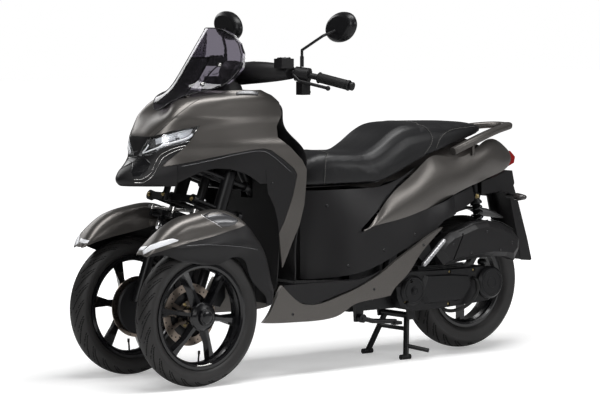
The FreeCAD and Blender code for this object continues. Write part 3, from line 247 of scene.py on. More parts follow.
# %% Node group: gloss patches
def patches_group():
    tree, given, made = group("gloss_patches", {"Color": (0.5, 0.5, 0.5, 1), "Low": 0.4,
                                                "High": 0.5, "Scale": 6.0, "Tint": 0.08},
                              {"Color": "Color", "Roughness": "Float"})
    place = add_node(tree, "TexCoord").outputs["Object"]
    noise = add_node(tree, "TexNoise", Detail=4.0)
    spread = add_node(tree, "MapRange")
    shade = add_node(tree, "MapRange", **{"To Max": 1.0})
    multiply = add_node(tree, "VectorMath", "SCALE")
    one_less = add_node(tree, "Math", "SUBTRACT")
    one_less.inputs[0].default_value = 1.0
    join(tree, (place, noise.inputs["Vector"]), (given["Scale"], noise.inputs["Scale"]),
         (noise.outputs["Fac"], spread.inputs["Value"]), (given["Low"], spread.inputs["To Min"]),
         (given["High"], spread.inputs["To Max"]), (given["Tint"], one_less.inputs[1]),
         (noise.outputs["Fac"], shade.inputs["Value"]),
         (one_less.outputs[0], shade.inputs["To Min"]), (given["Color"], multiply.inputs[0]),
         (shade.outputs["Result"], multiply.inputs["Scale"]),
         (multiply.outputs[0], made["Color"]), (spread.outputs["Result"], made["Roughness"]))
    return tree


PATCHES = patches_group()
print("patches have", len(PATCHES.nodes), "nodes")

# %% [markdown]
# The grey paint holds metal flakes, each a tiny mirror that is a little lighter or darker than its
# neighbours. Cells of a Voronoi pattern stand for the flakes, and each cell's own random colour
# sets its brightness, from one less the spread to one more.

# %% Node group: metal flakes
def flake_group():
    tree, given, made = group("metal_flakes", {"Color": (0.5, 0.5, 0.5, 1), "Scale": 2600.0,
                                               "Spread": 0.25}, {"Color": "Color"})
    cells = add_node(tree, "TexVoronoi")
    split = add_node(tree, "SeparateColor")
    spread = add_node(tree, "MapRange")
    multiply = add_node(tree, "VectorMath", "SCALE")
    for operation, end in (("SUBTRACT", "To Min"), ("ADD", "To Max")):
        limit = add_node(tree, "Math", operation)
        limit.inputs[0].default_value = 1.0
        join(tree, (given["Spread"], limit.inputs[1]), (limit.outputs[0], spread.inputs[end]))
    join(tree, (add_node(tree, "TexCoord").outputs["Object"], cells.inputs["Vector"]),
         (given["Scale"], cells.inputs["Scale"]), (cells.outputs["Color"], split.inputs[0]),
         (split.outputs[0], spread.inputs["Value"]), (given["Color"], multiply.inputs[0]),
         (spread.outputs["Result"], multiply.inputs["Scale"]),
         (multiply.outputs[0], made["Color"]))
    return tree


FLAKES = flake_group()
print("flakes have", len(FLAKES.nodes), "nodes")

# %% [markdown]
# ## Finishes
# Most finishes are the same recipe with other numbers: a colour with gloss patches, then flakes or
# grain where the real part has them. Values that don't change over the surface, such as metal or
# lacquer, are set on the shader itself. Glass and clear plastic get a recipe of their own.

# %% Two recipes
def surface(name, color, low, high, metallic=0.0, grain=None, flakes=None, tint=0.08, coat=0.0,
            coat_roughness=0.1, patch=6.0, specular=0.5):
    """A solid finish whose roughness lies between low and high."""
    material, tree, shader = new_material(name)
    shader.inputs["Metallic"].default_value = metallic
    shader.inputs["Coat Weight"].default_value = coat
    shader.inputs["Coat Roughness"].default_value = coat_roughness
    shader.inputs["Specular IOR Level"].default_value = specular
    patches = place_group(tree, PATCHES, Color=(*color, 1), Low=low, High=high, Scale=patch,
                          Tint=tint)
    tone = patches.outputs["Color"]
    if flakes:
        sparkle = place_group(tree, FLAKES, Scale=flakes[0], Spread=flakes[1])
        join(tree, (tone, sparkle.inputs["Color"]))
        tone = sparkle.outputs["Color"]
    join(tree, (tone, shader.inputs["Base Color"]),
         (patches.outputs["Roughness"], shader.inputs["Roughness"]))
    if grain:
        bumps = place_group(tree, GRAIN, Scale=grain[0], Depth=grain[1], Softness=grain[2])
        join(tree, (bumps.outputs["Normal"], shader.inputs["Normal"]))
    return material


def clear(name, color, roughness):
    """A see-through finish."""
    material, tree, shader = new_material(name)
    shader.inputs["Transmission Weight"].default_value = 1.0
    shader.inputs["IOR"].default_value = 1.45
    patches = place_group(tree, PATCHES, Color=(*color, 1), Low=roughness, High=roughness + 0.03,
                          Scale=9.0, Tint=0.02)
    join(tree, (patches.outputs["Color"], shader.inputs["Base Color"]),
         (patches.outputs["Roughness"], shader.inputs["Roughness"]))
    return material


print("recipes ready")

# %% [markdown]
# The painted panels are a warm dark grey with metal flakes under a matt lacquer. The black parts
# differ in gloss and grain only: moulded plastic is the roughest, smooth black the calmest, satin
# is paint on steel, cast black is paint on rough castings, and gloss is for the wheels.

# %% Paint and the blacks
PAINT = surface("grey_paint", (0.118, 0.110, 0.103), 0.31, 0.39, metallic=0.72,
                flakes=(2400.0, 0.22), tint=0.05, coat=0.10, coat_roughness=0.35)
# The same grey colours the guard crest and arch edge beads as a painted highlight.
GREY_INSERT_AND_HIGHLIGHT = surface("guard_insert", (0.085, 0.085, 0.090), 0.22, 0.30, metallic=0.4,
                      flakes=(2400.0, 0.2), coat=0.3)
PLASTIC = surface("moulded_black", (0.0075, 0.007, 0.0078), 0.40, 0.50,
                  grain=(1500.0, 0.12, 0.4), specular=0.30)
SMOOTH_BLACK = surface("smooth_black", (0.005, 0.005, 0.006), 0.18, 0.28,
                       grain=(500.0, 0.02, 0.8), specular=0.4)
SATIN = surface("satin_black", (0.006, 0.006, 0.007), 0.30, 0.42, metallic=0.2,
                grain=(700.0, 0.08, 0.8), specular=0.35)
CAST_BLACK = surface("cast_black", (0.009, 0.009, 0.010), 0.34, 0.46, metallic=0.3,
                     grain=(420.0, 0.20, 0.7), specular=0.35)
HEAT_BLACK = surface("heatproof_black", (0.012, 0.011, 0.011), 0.42, 0.58, metallic=0.5,
                     grain=(380.0, 0.2, 0.8), tint=0.25)
GLOSS = surface("gloss_black", (0.005, 0.005, 0.006), 0.16, 0.24, metallic=0.1, coat=0.30,
                coat_roughness=0.08, grain=(260.0, 0.02, 0.9), specular=0.4)
print("paints", len(bpy.data.materials))

# %% [markdown]
# Tyre rubber is dull and dusty, and its grooves get a darker rubber as painted shade. Hoses and
# grips are softer.
# The seat's cover has a leather grain, sewn with a light thread.

# %% Rubber, seat cover and thread
RUBBER = surface("tyre_rubber", (0.015, 0.014, 0.014), 0.48, 0.62, grain=(900.0, 0.2, 0.6),
                 tint=0.2, patch=14.0, specular=0.45)
# Darker rubber for the tread's grooves: painted shade in the recesses.
GROOVE_SHADE = surface("groove_shade_rubber", (0.004, 0.004, 0.004), 0.70, 0.80, specular=0.2)
# This soft black also stands as painted shade in gaps, holes and slots.
SOFT_RUBBER_AND_SHADE = surface("soft_rubber_and_shade", (0.007, 0.007, 0.007), 0.50, 0.62,
                      grain=(1200.0, 0.2, 0.6), specular=0.3)
LEATHER = surface("seat_cover", (0.007, 0.007, 0.008), 0.36, 0.48, grain=(520.0, 0.3, 0.25),
                  tint=0.12, specular=0.35)
THREAD = surface("light_thread", (0.20, 0.195, 0.185), 0.6, 0.7, grain=(3000.0, 0.3, 0.5))
print("rubber and cover done")

# %% [markdown]
# Bare metals are few: cast alloy pegs, bright steel, yellow zinc on the screws, the brown-grey of
# a used brake disc, and chrome on the fork tubes. Lenses are clear where something lies behind
# them, and solid with a lacquer where they hide it.

# %% Metals, lamps and lenses
ALLOY = surface("cast_alloy", (0.40, 0.40, 0.41), 0.34, 0.48, metallic=0.9, grain=(600.0, 0.2, 0.7))
STEEL = surface("bright_steel", (0.52, 0.51, 0.50), 0.18, 0.30, metallic=1.0,
                grain=(900.0, 0.08, 0.8))
ZINC = surface("yellow_zinc", (0.42, 0.33, 0.16), 0.28, 0.42, metallic=1.0, tint=0.25)
DISC = surface("brake_disc", (0.30, 0.25, 0.21), 0.26, 0.38, metallic=1.0, tint=0.2, patch=20.0,
               grain=(500.0, 0.1, 0.9))
CHROME = surface("chrome", (0.70, 0.70, 0.71), 0.05, 0.10, metallic=1.0, tint=0.02)
MIRROR = surface("mirror_glass", (0.80, 0.81, 0.82), 0.01, 0.03, metallic=1.0, tint=0.01)
REFLECTOR = surface("lamp_reflector", (0.72, 0.73, 0.75), 0.14, 0.22, metallic=0.4, tint=0.05)
WHITE_LAMP = surface("white_lamp", (0.86, 0.87, 0.90), 0.15, 0.25, tint=0.02)
RED_LENS = surface("red_lens", (0.30, 0.008, 0.008), 0.08, 0.14, coat=0.8, tint=0.1)
SMOKED_LENS = surface("smoked_lens", (0.030, 0.027, 0.027), 0.08, 0.14, coat=0.6, tint=0.1)
CLEAR_LENS = clear("clear_lens", (0.97, 0.98, 1.0), 0.03)
SMOKED = clear("smoked_screen", (0.17, 0.155, 0.19), 0.02)
print("materials", len(bpy.data.materials))

# %% [markdown]
# ## Dress the solids
# Each solid keeps its shape and only changes its finish. One table from finish to solids is
# shorter than a line for each, and shows at a glance which parts share a look.

# %% Finish of every solid
FINISH = {
    PAINT: ["front_cowl", "side_cowls", "sills", "tail_cowls", "grab_bar", "fender_left",
            "fender_right"],
    PLASTIC: ["arch_panels", "leg_shield", "bulkhead", "floorboard", "body_cover", "storage_box",
              "rear_fender", "air_cleaner", "hugger", "handlebar", "nose_face",
              "fender_skirt_left", "fender_skirt_right"],
    CLEAR_LENS: ["headlights"],
    SMOKED: ["windscreen"],
    SATIN: ["frame", "mirrors", "upper_arm", "lower_arm", "centre_stand", "side_stand",
            "knuckle_left", "knuckle_right"],
    CAST_BLACK: ["engine", "cvt_cover", "link_left", "link_right"],
    HEAT_BLACK: ["muffler"],
    STEEL: ["ball_stud", "track_rod"],
    GLOSS: ["rim_left", "rim_right", "rear_rim"],
    DISC: ["disc_left", "disc_right"],
    RUBBER: ["tyre_left", "tyre_right", "rear_tyre"],
    LEATHER: ["seat"],
    RED_LENS: ["tail_lamp"],
}
for finish, names in FINISH.items():
    for name in names:
        for place in NODES[name].material_slots:
            place.material = finish
print("dressed", sum(len(names) for names in FINISH.values()), "of", len(NODES))

# %% [markdown]
# ## Pieces and meshes
# A piece is a mesh that rides on one body of the machine, so that it turns and leans with it. A
# mesh could be modelled by hand. Here each is worked out as points and faces, because a formula
# can follow the solids exactly and be changed by one number.

# %% Helpers for pieces
def piece(name, mesh, material, body, smooth=True):
    """An object with its mesh, body and material slot."""
    if material:
        mesh.materials.append(material)
    if smooth:
        mesh.polygons.foreach_set("use_smooth", [True] * len(mesh.polygons))
    thing = bpy.data.objects.new(name, mesh)
    bpy.context.scene.collection.objects.link(thing)
    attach(thing, body)
    return thing


def mesh_of(name, points, faces):
    mesh = bpy.data.meshes.new(name)
    mesh.from_pydata([tuple(p) for p in points], [], faces)
    mesh.update()
    return mesh


def build(name, parts, material, body, smooth=True):
    """A piece made of several parts, each a list of points and a list of faces."""
    points, faces = [], []
    for more_points, more_faces in parts:
        start = len(points)
        points += more_points
        faces += [[i + start for i in face] for face in more_faces]
    return piece(name, mesh_of(name, points, faces), material, body, smooth)


def other_side(part):
    """The mirror image of points and faces."""
    points, faces = part
    return [Vector((p.x, -p.y, p.z)) for p in points], [list(face)[::-1] for face in faces]


def both_sides(name, parts, material, body, smooth=True):
    """A piece on the left and its mirror image, on the right-hand twin of a body."""
    build(name + "_left", parts, material, body, smooth)
    build(name + "_right", [other_side(part) for part in parts], material,
          body.replace("left", "right"), smooth)


print("piece helpers ready")

# %% [markdown]
# ## Tubes and turned parts
# Most small parts are either a tube that follows a line, such as a seam, a spring or a cord of
# piping, or a turned part, such as a screw or a cap. All three helpers below stack rings of
# points and close them with the same faces: `bead` along a line, `lathe` about an axis, and
# `ovals` through oval sections.

# %% Helpers for tubes and turned parts
def smooth_line(points, steps):
    """A soft curve through the points."""
    pts = [Vector(p) for p in points]
    out = []
    for i in range(len(pts) - 1):
        a, b = pts[max(i - 1, 0)], pts[i]
        c, d = pts[i + 1], pts[min(i + 2, len(pts) - 1)]
        for k in range(steps):
            t = k / steps
            out.append(0.5 * ((2 * b) + (c - a) * t + (2 * a - 5 * b + 4 * c - d) * t * t
                              + (3 * b - a - 3 * c + d) * t ** 3))
    out.append(pts[-1])
    return out


def oval(centre, u, v, ru, rv, count):
    """Points round an oval, with its two directions and half widths."""
    angles = [2 * math.pi * k / count for k in range(count)]
    return [centre + u * (ru * math.cos(t)) + v * (rv * math.sin(t)) for t in angles]


def ring_faces(rings, sides):
    """Faces between rings of points that follow each other, with both ends closed."""
    faces = []
    for i in range(rings - 1):
        for k in range(sides):
            a, b = i * sides + k, i * sides + (k + 1) % sides
            faces.append([a, b, b + sides, a + sides])
    faces.append(list(range(sides))[::-1])
    faces.append([(rings - 1) * sides + k for k in range(sides)])
    return faces


def bead(line, radius, sides=8, flat=1.0):
    points = []
    up = Vector((0.13, 0.21, 0.97))
    for i, p in enumerate(line):
        ahead = (line[min(i + 1, len(line) - 1)] - line[max(i - 1, 0)]).normalized()
        side = ahead.cross(up).normalized()
        over = side.cross(ahead).normalized()
        points += oval(p, side, over, radius, radius * flat, sides)
    return points, ring_faces(len(line), sides)


def lathe(profile, centre, axis, sides=24):
    """A turned part from its (radius, along) profile."""
    axis = Vector(axis).normalized()
    side = axis.cross(Vector((0.31, 0.17, 0.93)))
    side = (side - axis * side.dot(axis)).normalized()
    points = []
    for r, along in profile:
        points += oval(Vector(centre) + axis * along, side, axis.cross(side), r, r, sides)
    return points, ring_faces(len(profile), sides)


def ovals(sections, sides=28):
    """A skin through sections, each a centre, two directions and two half widths."""
    points = []
    for centre, u, v, ru, rv in sections:
        u, v = Vector(u).normalized(), Vector(v).normalized()
        points += oval(Vector(centre), u, v, ru, rv, sides)
    return points, ring_faces(len(sections), sides)


print("tube helpers ready")

# %% [markdown]
# Screws and nuts hold every cover, so one of each is drawn once. A screw has a washer face, a
# rounded head and a recess. A nut has a flange, six flats and its bolt's end.

# %% Screw and nut
def screw(centre, axis, r=0.0045, high=0.003):
    head = [(r * 1.35, 0.0), (r * 1.35, high * 0.25), (r, high * 0.3), (r * 0.95, high * 0.85),
            (r * 0.8, high), (r * 0.5, high), (r * 0.45, high * 0.45)]
    return lathe(head, centre, axis, sides=12)


def nut(centre, axis, r=0.008, high=0.007):
    flange = lathe([(r * 1.35, 0), (r * 1.3, high * 0.18), (r, high * 0.2)], centre, axis, sides=18)
    hexagon = lathe([(r, high * 0.15), (r, high * 0.85), (r * 0.85, high)], centre, axis, sides=6)
    end = lathe([(r * 0.5, high * 0.9), (r * 0.5, high * 1.25), (r * 0.4, high * 1.35)], centre,
                axis, sides=12)
    return [flange, hexagon, end]


print("screw has", len(screw((0, 0, 0), (0, 0, 1))[0]), "points")

# %% [markdown]
# ## Finding a place on a panel
# A screw has to sit on the surface it holds. Its place could be typed in, but then it floats or
# sinks when the panel changes. So a ray is shot at the panel, and the place and direction where
# it lands are used. Trims are easiest to place where they are seen: there the ray starts at the
# camera and goes through a pixel of the 600 by 400 picture.

# %% Rays onto a panel
SKINS = {}
FOCAL_PIXELS = IMAGE_WIDE * LENS / SENSOR
TURN = camera.rotation_euler.to_matrix()


def skin_of(mesh):
    return BVHTree.FromPolygons([v.co for v in mesh.vertices], [p.vertices for p in mesh.polygons])


def on_skin(names, start, aim):
    """The place and outward direction where a ray first meets one of the solids."""
    start, aim = Vector(start), Vector(aim).normalized()
    best = None
    for name in names.split("+"):
        if name not in SKINS:
            SKINS[name] = skin_of(NODES[name].data)
        place, normal, _, far = SKINS[name].ray_cast(start, aim)
        if place is not None and (best is None or far < best[0]):
            best = (far, place, normal)
    if best is None:
        raise ValueError("no " + names + " at " + str(start) + str(aim))
    far, place, normal = best
    if normal.dot(aim) > 0:
        normal = -normal
    return place, normal


def pixel_ray(px, py):
    return TURN @ Vector(((px - IMAGE_WIDE / 2) / FOCAL_PIXELS,
                          (IMAGE_HIGH / 2 - py) / FOCAL_PIXELS, -1.0))


def seen(node, px, py):
    return on_skin(node, camera.location, pixel_ray(px, py))


def from_left(node, x, z):
    return on_skin(node, at(x, 900, z), (0, -1, 0))


def from_right(node, x, z):
    return on_skin(node, at(x, -900, z), (0, 1, 0))


def from_above(node, x, y):
    return on_skin(node, at(x, y, 1600), (0, 0, -1))


def from_behind(node, y, z):
    return on_skin(node, at(-2300, y, z), (1, 0, 0))


print("focal length", round(FOCAL_PIXELS), "pixels")

# %% [markdown]
# Two kinds of trim lie on panels. A `patch` is a thin plate between two drawn edges, such as a
# reflector or a lens. A `seam_line` is a bead, such as a gap, a rib or piping. Both shoot one ray
# for each of their points, so they follow the panel's curve like a sticker.

# %% Plates and beads on a panel
def row_place(points, share):
    """The place at a share of the way along a row of drawn points."""
    spans = [math.dist(a, b) for a, b in zip(points, points[1:])]
    left = share * sum(spans)
    for a, b, span in zip(points, points[1:], spans):
        if left <= span or (a, b) == (points[-2], points[-1]):
            t = min(1.0, left / max(span, 1e-9))
            return a[0] + (b[0] - a[0]) * t, a[1] + (b[1] - a[1]) * t
        left -= span


def patch(node, upper, lower, lift=0.0008, steps=16, rows=4, shoot=seen):
    """A thin plate on a panel, between two rows of pixels or of drawing points."""
    top, under = [], []
    for i in range(rows + 1):
        for k in range(steps + 1):
            a, b = row_place(upper, k / steps), row_place(lower, k / steps)
            v = i / rows
            place, normal = shoot(node, a[0] + (b[0] - a[0]) * v, a[1] + (b[1] - a[1]) * v)
            top.append(place + normal * lift)
            under.append(place - normal * 0.0006)
    wide, count = steps + 1, len(top)
    faces = []
    for i in range(rows):
        for k in range(steps):
            a = i * wide + k
            faces.append([a, a + wide, a + wide + 1, a + 1])
            faces.append([count + a, count + a + 1, count + a + wide + 1, count + a + wide])
    border = list(range(wide)) + [i * wide + steps for i in range(1, rows + 1)]
    border += [rows * wide + k for k in range(steps - 1, -1, -1)]
    border += [i * wide for i in range(rows - 1, 0, -1)]
    for a, b in zip(border, border[1:] + border[:1]):
        faces.append([a, b, b + count, a + count])
    return top + under, faces


def seam_line(node, drawn, radius, lift=0.0, steps=8, shoot=seen):
    """A bead across a panel, along a row of pixels or of drawing points."""
    line = []
    for p in smooth_line([Vector((x, y, 0)) for x, y in drawn], steps):
        place, normal = shoot(node, p.x, p.y)
        line.append(place + normal * lift)
    return bead(line, radius, 6)


def screws_on(places, r, high, shoot=from_left, lift=0.0):
    """Screws at drawn places, each a solid's name and two measures."""
    spots = [shoot(*place) for place in places]
    return [screw(place + normal * lift, normal, r, high) for place, normal in spots]


print("panel helpers ready")

# %% [markdown]
# ## Seat
# The seat is foam under a stitched cover: a low rider's part, a step, and a higher passenger's
# part. It could be sculpted. Here a smooth body is drawn through cross-sections, which keeps it
# inside the solid seat's space.

# %% Seat body
# Each station: place along the machine, half width, low edge, widest height, top.
SEAT_STATIONS = [(-566, 92, 676, 680, 757), (-600, 112, 676, 694, 779), (-660, 132, 676, 704, 793),
                 (-740, 146, 676, 710, 791), (-830, 156, 676, 710, 792), (-890, 160, 680, 720, 818),
                 (-960, 160, 706, 744, 862), (-1020, 158, 732, 770, 885),
                 (-1100, 154, 761, 796, 889), (-1200, 146, 791, 819, 888),
                 (-1310, 128, 816, 842, 885), (-1400, 104, 836, 856, 878),
                 (-1436, 84, 845, 858, 869)]


def seat_ring(x, w, low, mid, top):
    rise = top - mid
    half = [(w * 0.90, low), (w * 0.985, low + 3), (w, mid), (w * 0.985, mid + rise * 0.30),
            (w * 0.93, mid + rise * 0.58), (w * 0.82, mid + rise * 0.82), (w * 0.66, top - 5),
            (w * 0.45, top - 1.5), (w * 0.22, top), (0, top)]
    ring = half + [(-y, z) for y, z in half[-2::-1]]
    floor = [(-w * 0.45, low), (0, low), (w * 0.45, low)]
    return [at(x, y, z) for y, z in ring + floor]


def seat_mesh():
    smooth = smooth_line([Vector((s[0], s[1], s[4])) for s in SEAT_STATIONS], 5)
    low = smooth_line([Vector((s[0], s[2], s[3])) for s in SEAT_STATIONS], 5)
    rings = [seat_ring(a.x, a.y, b.y, b.z, a.z) for a, b in zip(smooth, low)]
    count = len(rings[0])
    faces = ring_faces(len(rings), count)[:-2]
    points = [p for ring in rings for p in ring] + [at(-561, 0, 716), at(-1441, 0, 862)]
    end = (len(rings) - 1) * count
    for k in range(count):
        faces.append([k, (k + 1) % count, len(points) - 2][::-1])
        faces.append([end + k, end + (k + 1) % count, len(points) - 1])
    return mesh_of("seat_cushion", points, faces)


seat_cover = piece("seat_cushion", seat_mesh(), LEATHER, "seat")
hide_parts("seat")
print("seat drawn with", len(seat_cover.data.vertices), "points")

# %% [markdown]
# Foam pushes its cover out everywhere a little. A short cloth run with pressure inside and no
# gravity does that better than a formula. The surface is made even first, and no point may move
# further than the cap, so that the seat still fits the panels round it.

# %% Fill the seat
VOXEL, PRESSURE, MOMENTS, MOST_SWELL = 0.007, 4.0, 16, 0.004


def swell(thing, cap):
    bpy.context.view_layer.objects.active = thing
    remesh = thing.modifiers.new("even", "REMESH")
    remesh.mode = "VOXEL"
    remesh.voxel_size = VOXEL
    bpy.ops.object.modifier_apply(modifier="even")
    drawn = [v.co.copy() for v in thing.data.vertices]
    cloth = thing.modifiers.new("fill", "CLOTH")
    cloth.settings.use_pressure = True
    cloth.settings.uniform_pressure_force = PRESSURE
    cloth.settings.effector_weights.gravity = 0.0
    cloth.point_cache.frame_end = MOMENTS
    for moment in range(1, MOMENTS + 1):
        bpy.context.scene.frame_set(moment)
    bpy.ops.object.modifier_apply(modifier="fill")
    for v, rest in zip(thing.data.vertices, drawn):
        move = v.co - rest
        if move.length > cap:
            v.co = rest + move * (cap / move.length)
    bpy.context.scene.frame_set(1)


swell(seat_cover, MOST_SWELL)
soften = seat_cover.modifiers.new("soften", "SUBSURF")
soften.levels = soften.render_levels = 1
seat_cover.data.polygons.foreach_set("use_smooth", [True] * len(seat_cover.data.polygons))
print("seat filled,", len(seat_cover.data.vertices), "points")

# %% [markdown]
# The cover is sewn from several pieces. One seam runs over the nose of the seat, one curves up
# the step, and a pair frames the passenger's part. Grooves in the mesh would be lost when it is
# made even, so the seams come after the filling: a thin cord, with light stitches beside it. Each
# is drawn by pixel on the left, taken over the top by rays from above, and mirrored.

# %% Places of a seam
seat_skin = skin_of(seat_cover.data)


def seam_places(pixels):
    """Places and directions on the cover behind a row of pixels, without those that miss it."""
    found = []
    for p in smooth_line([Vector((x, y, 0)) for x, y in pixels], 10):
        found.append(seat_skin.ray_cast(camera.location, pixel_ray(p.x, p.y).normalized())[:2])
    return [spot for spot in found if spot[0] is not None]


def over_the_top(place):
    """Places and directions that lead across the cover to its other side."""
    found = []
    for k in range(1, 20):
        above = at(place.x * 1000 - AXLE_X, place.y * 1000 * (1 - k / 10), 1000)
        found.append(seat_skin.ray_cast(above, Vector((0, 0, -1)))[:2])
    return [spot for spot in found if spot[0] is not None]


def mirrored_places(places):
    return [(Vector((p.x, -p.y, p.z)), Vector((n.x, -n.y, n.z))) for p, n in places]


print("seams can be placed")

# %% Sew the seams
CORD, THREAD_THICK, BESIDE, STITCH, PITCH = 0.0013, 0.0006, 0.0038, 0.0045, 0.0062


def sew(name, places):
    """A cord of piping and a row of stitches beside it."""
    line = [place for place, normal in places]
    build(name, [bead(line, CORD, 6)], LEATHER, "seat")
    stitches = []
    run = 0.0
    for a, b, normal in zip(line, line[1:], [normal for place, normal in places]):
        ahead = (b - a).normalized()
        aside = ahead.cross(normal).normalized() * BESIDE
        while run < (b - a).length:
            s = a + ahead * run + aside + normal * 0.0005
            stitches.append(bead([s, s + ahead * 0.0022 + normal * 0.0004, s + ahead * STITCH],
                                 THREAD_THICK, 5))
            run += PITCH
        run -= (b - a).length
    build(name + "_thread", stitches, THREAD, "seat")
    print(name, len(stitches), "stitches")


for name, pixels in (("seam_front", [(323.5, 186), (324.2, 172), (325.2, 158), (327, 153.5)]),
                     ("seam_step", [(394, 177.5), (406.5, 170.3), (421.2, 157.1), (430.5, 143.5),
                                    (430.5, 134.5), (424.5, 127.5), (417.5, 124.8)])):
    near = seam_places(pixels)
    sew(name, near + over_the_top(near[-1][0]) + mirrored_places(near)[::-1])
rear_seam = seam_places([(432, 158), (437.4, 143), (443.2, 133.5), (453.5, 128.2), (474, 125.6)])
sew("seam_rear_left", rear_seam)
sew("seam_rear_right", mirrored_places(rear_seam))

# %% [markdown]
# ## Tyres
# A road tyre for rain has a plain centre and curved grooves that run out to the shoulders. A
# picture of a tread wrapped round the tyre would look flat at its edge. So the section is turned
# into a fine skin, and the grooves are pressed into it point by point.

# %% Tyre section
CROWN_STEPS, AROUND = 46, 540                  # points across the tread and round the wheel
SHOULDER, CROWN_DROP = math.radians(80), 31    # how far the tread bends, and how much it falls


def tyre_section(radius, half, flange, bead_radius):
    """The (radius, across) points of the outside and of the inside, in millimetres."""
    wall = [(bead_radius + 0.5, -0.62 * half), (flange + 1.5, -0.62 * half),
            (flange + 5, -0.72 * half), (flange + 12, -0.88 * half),
            (flange + 22, -0.955 * half), (radius - 34, -0.99 * half)]
    crown = []
    for i in range(CROWN_STEPS + 1):
        angle = (i / CROWN_STEPS - 0.5) * 2 * SHOULDER
        drop = CROWN_DROP * (1 - math.cos(angle)) / (1 - math.cos(SHOULDER))
        crown.append((radius - 0.15 - drop, half * 0.998 * math.sin(angle) / math.sin(SHOULDER)))
    inside = [(bead_radius + 0.5, 0.62 * half - 8), (flange + 8, 0.60 * half),
              (radius - 30, half - 8), (radius - 18, 0), (radius - 30, 8 - half),
              (flange + 8, -0.60 * half), (bead_radius + 0.5, 8 - 0.62 * half)]
    return wall + crown + [(r, -y) for r, y in wall[::-1]], inside


print("a front tyre's section has", len(tyre_section(250, 45, 188, 177.8)[0]), "outer points")

# %% Grooves
GROOVE_DEPTH = 2.0
# Each row: shift round the wheel, where it starts across the tread, slant, half width.
GROOVE_ROWS = ((0.0, 0.10, 1.9, 0.062), (0.5, 0.34, 1.5, 0.050))


def groove(t, v, count):
    """How deep the tread is cut at an angle t round the wheel and v across it."""
    depth = 0.0
    for shift, begins, slant, wide in GROOVE_ROWS:
        phase = t * count / (2 * math.pi) + shift + (0.25 if v < 0 else 0.0)
        off = (phase - slant * (abs(v) ** 1.4) * 0.9) % 1.0
        off = min(off, 1 - off)
        if begins < abs(v) < 0.90 and off < wide:
            depth = max(depth, GROOVE_DEPTH * min(1.0, (wide - off) / 0.03))
    return depth


def tyre_mesh(name, centre, radius, width, flange, bead_radius, groove_count):
    half = width / 2
    outside, inside = tyre_section(radius, half, flange, bead_radius)
    profile = outside + inside
    count = len(profile)
    points, faces, sunk = [], [], []
    for i in range(AROUND):
        t = 2 * math.pi * i / AROUND
        following = (i + 1) % AROUND
        for k, (r, y) in enumerate(profile):
            treaded = k < len(outside) and r > radius - 32 and abs(y) < half
            sunk.append(groove(t, y / half, groove_count) if treaded else 0.0)
            rr = (r - sunk[-1]) / 1000
            points.append(Vector((rr * math.cos(t), y / 1000, rr * math.sin(t))) + centre)
            m = (k + 1) % count
            faces.append([following * count + k, following * count + m, i * count + m,
                          i * count + k])
    mesh = mesh_of(name, points, faces)
    mesh.materials.append(RUBBER)
    mesh.materials.append(GROOVE_SHADE)
    # Faces sunk into a groove take the darker rubber, which is painted shade.
    for face in mesh.polygons:
        face.material_index = 1 if sum(sunk[v] > 1.0 for v in face.vertices) >= 2 else 0
    return mesh


print("grooves ready")

# %% Put the tyres on
for word, body, node, middle, sizes in (
        ("left", "wheel_left", "tyre_left", (0, TRACK_HALF, AXLE_Z), (250, 90, 188, 177.8, 24)),
        ("right", "wheel_right", "tyre_right", (0, -TRACK_HALF, AXLE_Z), (250, 90, 188, 177.8, 24)),
        ("rear", "rear_wheel", "rear_tyre", REAR_AXLE, (256, 130, 176, 165.1, 22))):
    tread = piece("tread_" + word, tyre_mesh("tread_" + word, at(*middle), *sizes), None, body)
    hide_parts(node)
    print(tread.name, len(tread.data.polygons), "faces")

# %% [markdown]
# ## Lamps
# Behind the clear lens is a dark bowl, a ribbed bright plate in its upper part, two small
# projectors, and a white running light along the lower edge. The bowl could be drawn anew. It is
# the lens's own shape moved inwards, so it fits behind the lens everywhere.

# %% Headlamp bowls
def lamp_bowls():
    source = NODES["headlights"].data
    points = []
    for v in source.vertices:
        side = 1 if v.co.y > 0 else -1
        points.append(v.co + Vector((-0.020, -0.012 * side, -0.001)))
    mesh = mesh_of("lamp_bowls", points, [list(p.vertices) for p in source.polygons])
    piece("lamp_bowls", mesh, SMOOTH_BLACK, "chassis", smooth=False)


def behind_lens(x, z, side, depth):
    """A point behind the lens as seen from one side, and the lens's direction there."""
    place, normal = on_skin("headlights", at(x, side * 400, z), (0, -side, 0))
    return place - normal * depth, normal


lamp_bowls()
print("lamp bowls set")

# %% Reflectors, running lights and projectors
RIBS_UP, RIBS_ALONG = 8, 24


def reflector(side, name):
    """A ribbed bright plate that fills the upper part of the lamp."""
    upper = [(88, 866), (60, 878), (42, 885), (0, 896), (-34, 901)]
    lower = [(88, 847), (60, 857), (36, 863), (0, 872), (-24, 886)]
    points, faces = [], []
    for i in range(RIBS_UP + 1):
        for k in range(RIBS_ALONG + 1):
            a, b = row_place(upper, k / RIBS_ALONG), row_place(lower, k / RIBS_ALONG)
            v = i / RIBS_UP
            points.append(behind_lens(a[0] + (b[0] - a[0]) * v, a[1] + (b[1] - a[1]) * v, side,
                                      0.0075 + 0.0025 * (i % 2))[0])
    wide = RIBS_ALONG + 1
    for i in range(RIBS_UP):
        for a in range(i * wide, i * wide + RIBS_ALONG):
            faces.append([a, a + wide, a + wide + 1, a + 1])
    build(name, [(points, faces)], REFLECTOR, "chassis", smooth=False)


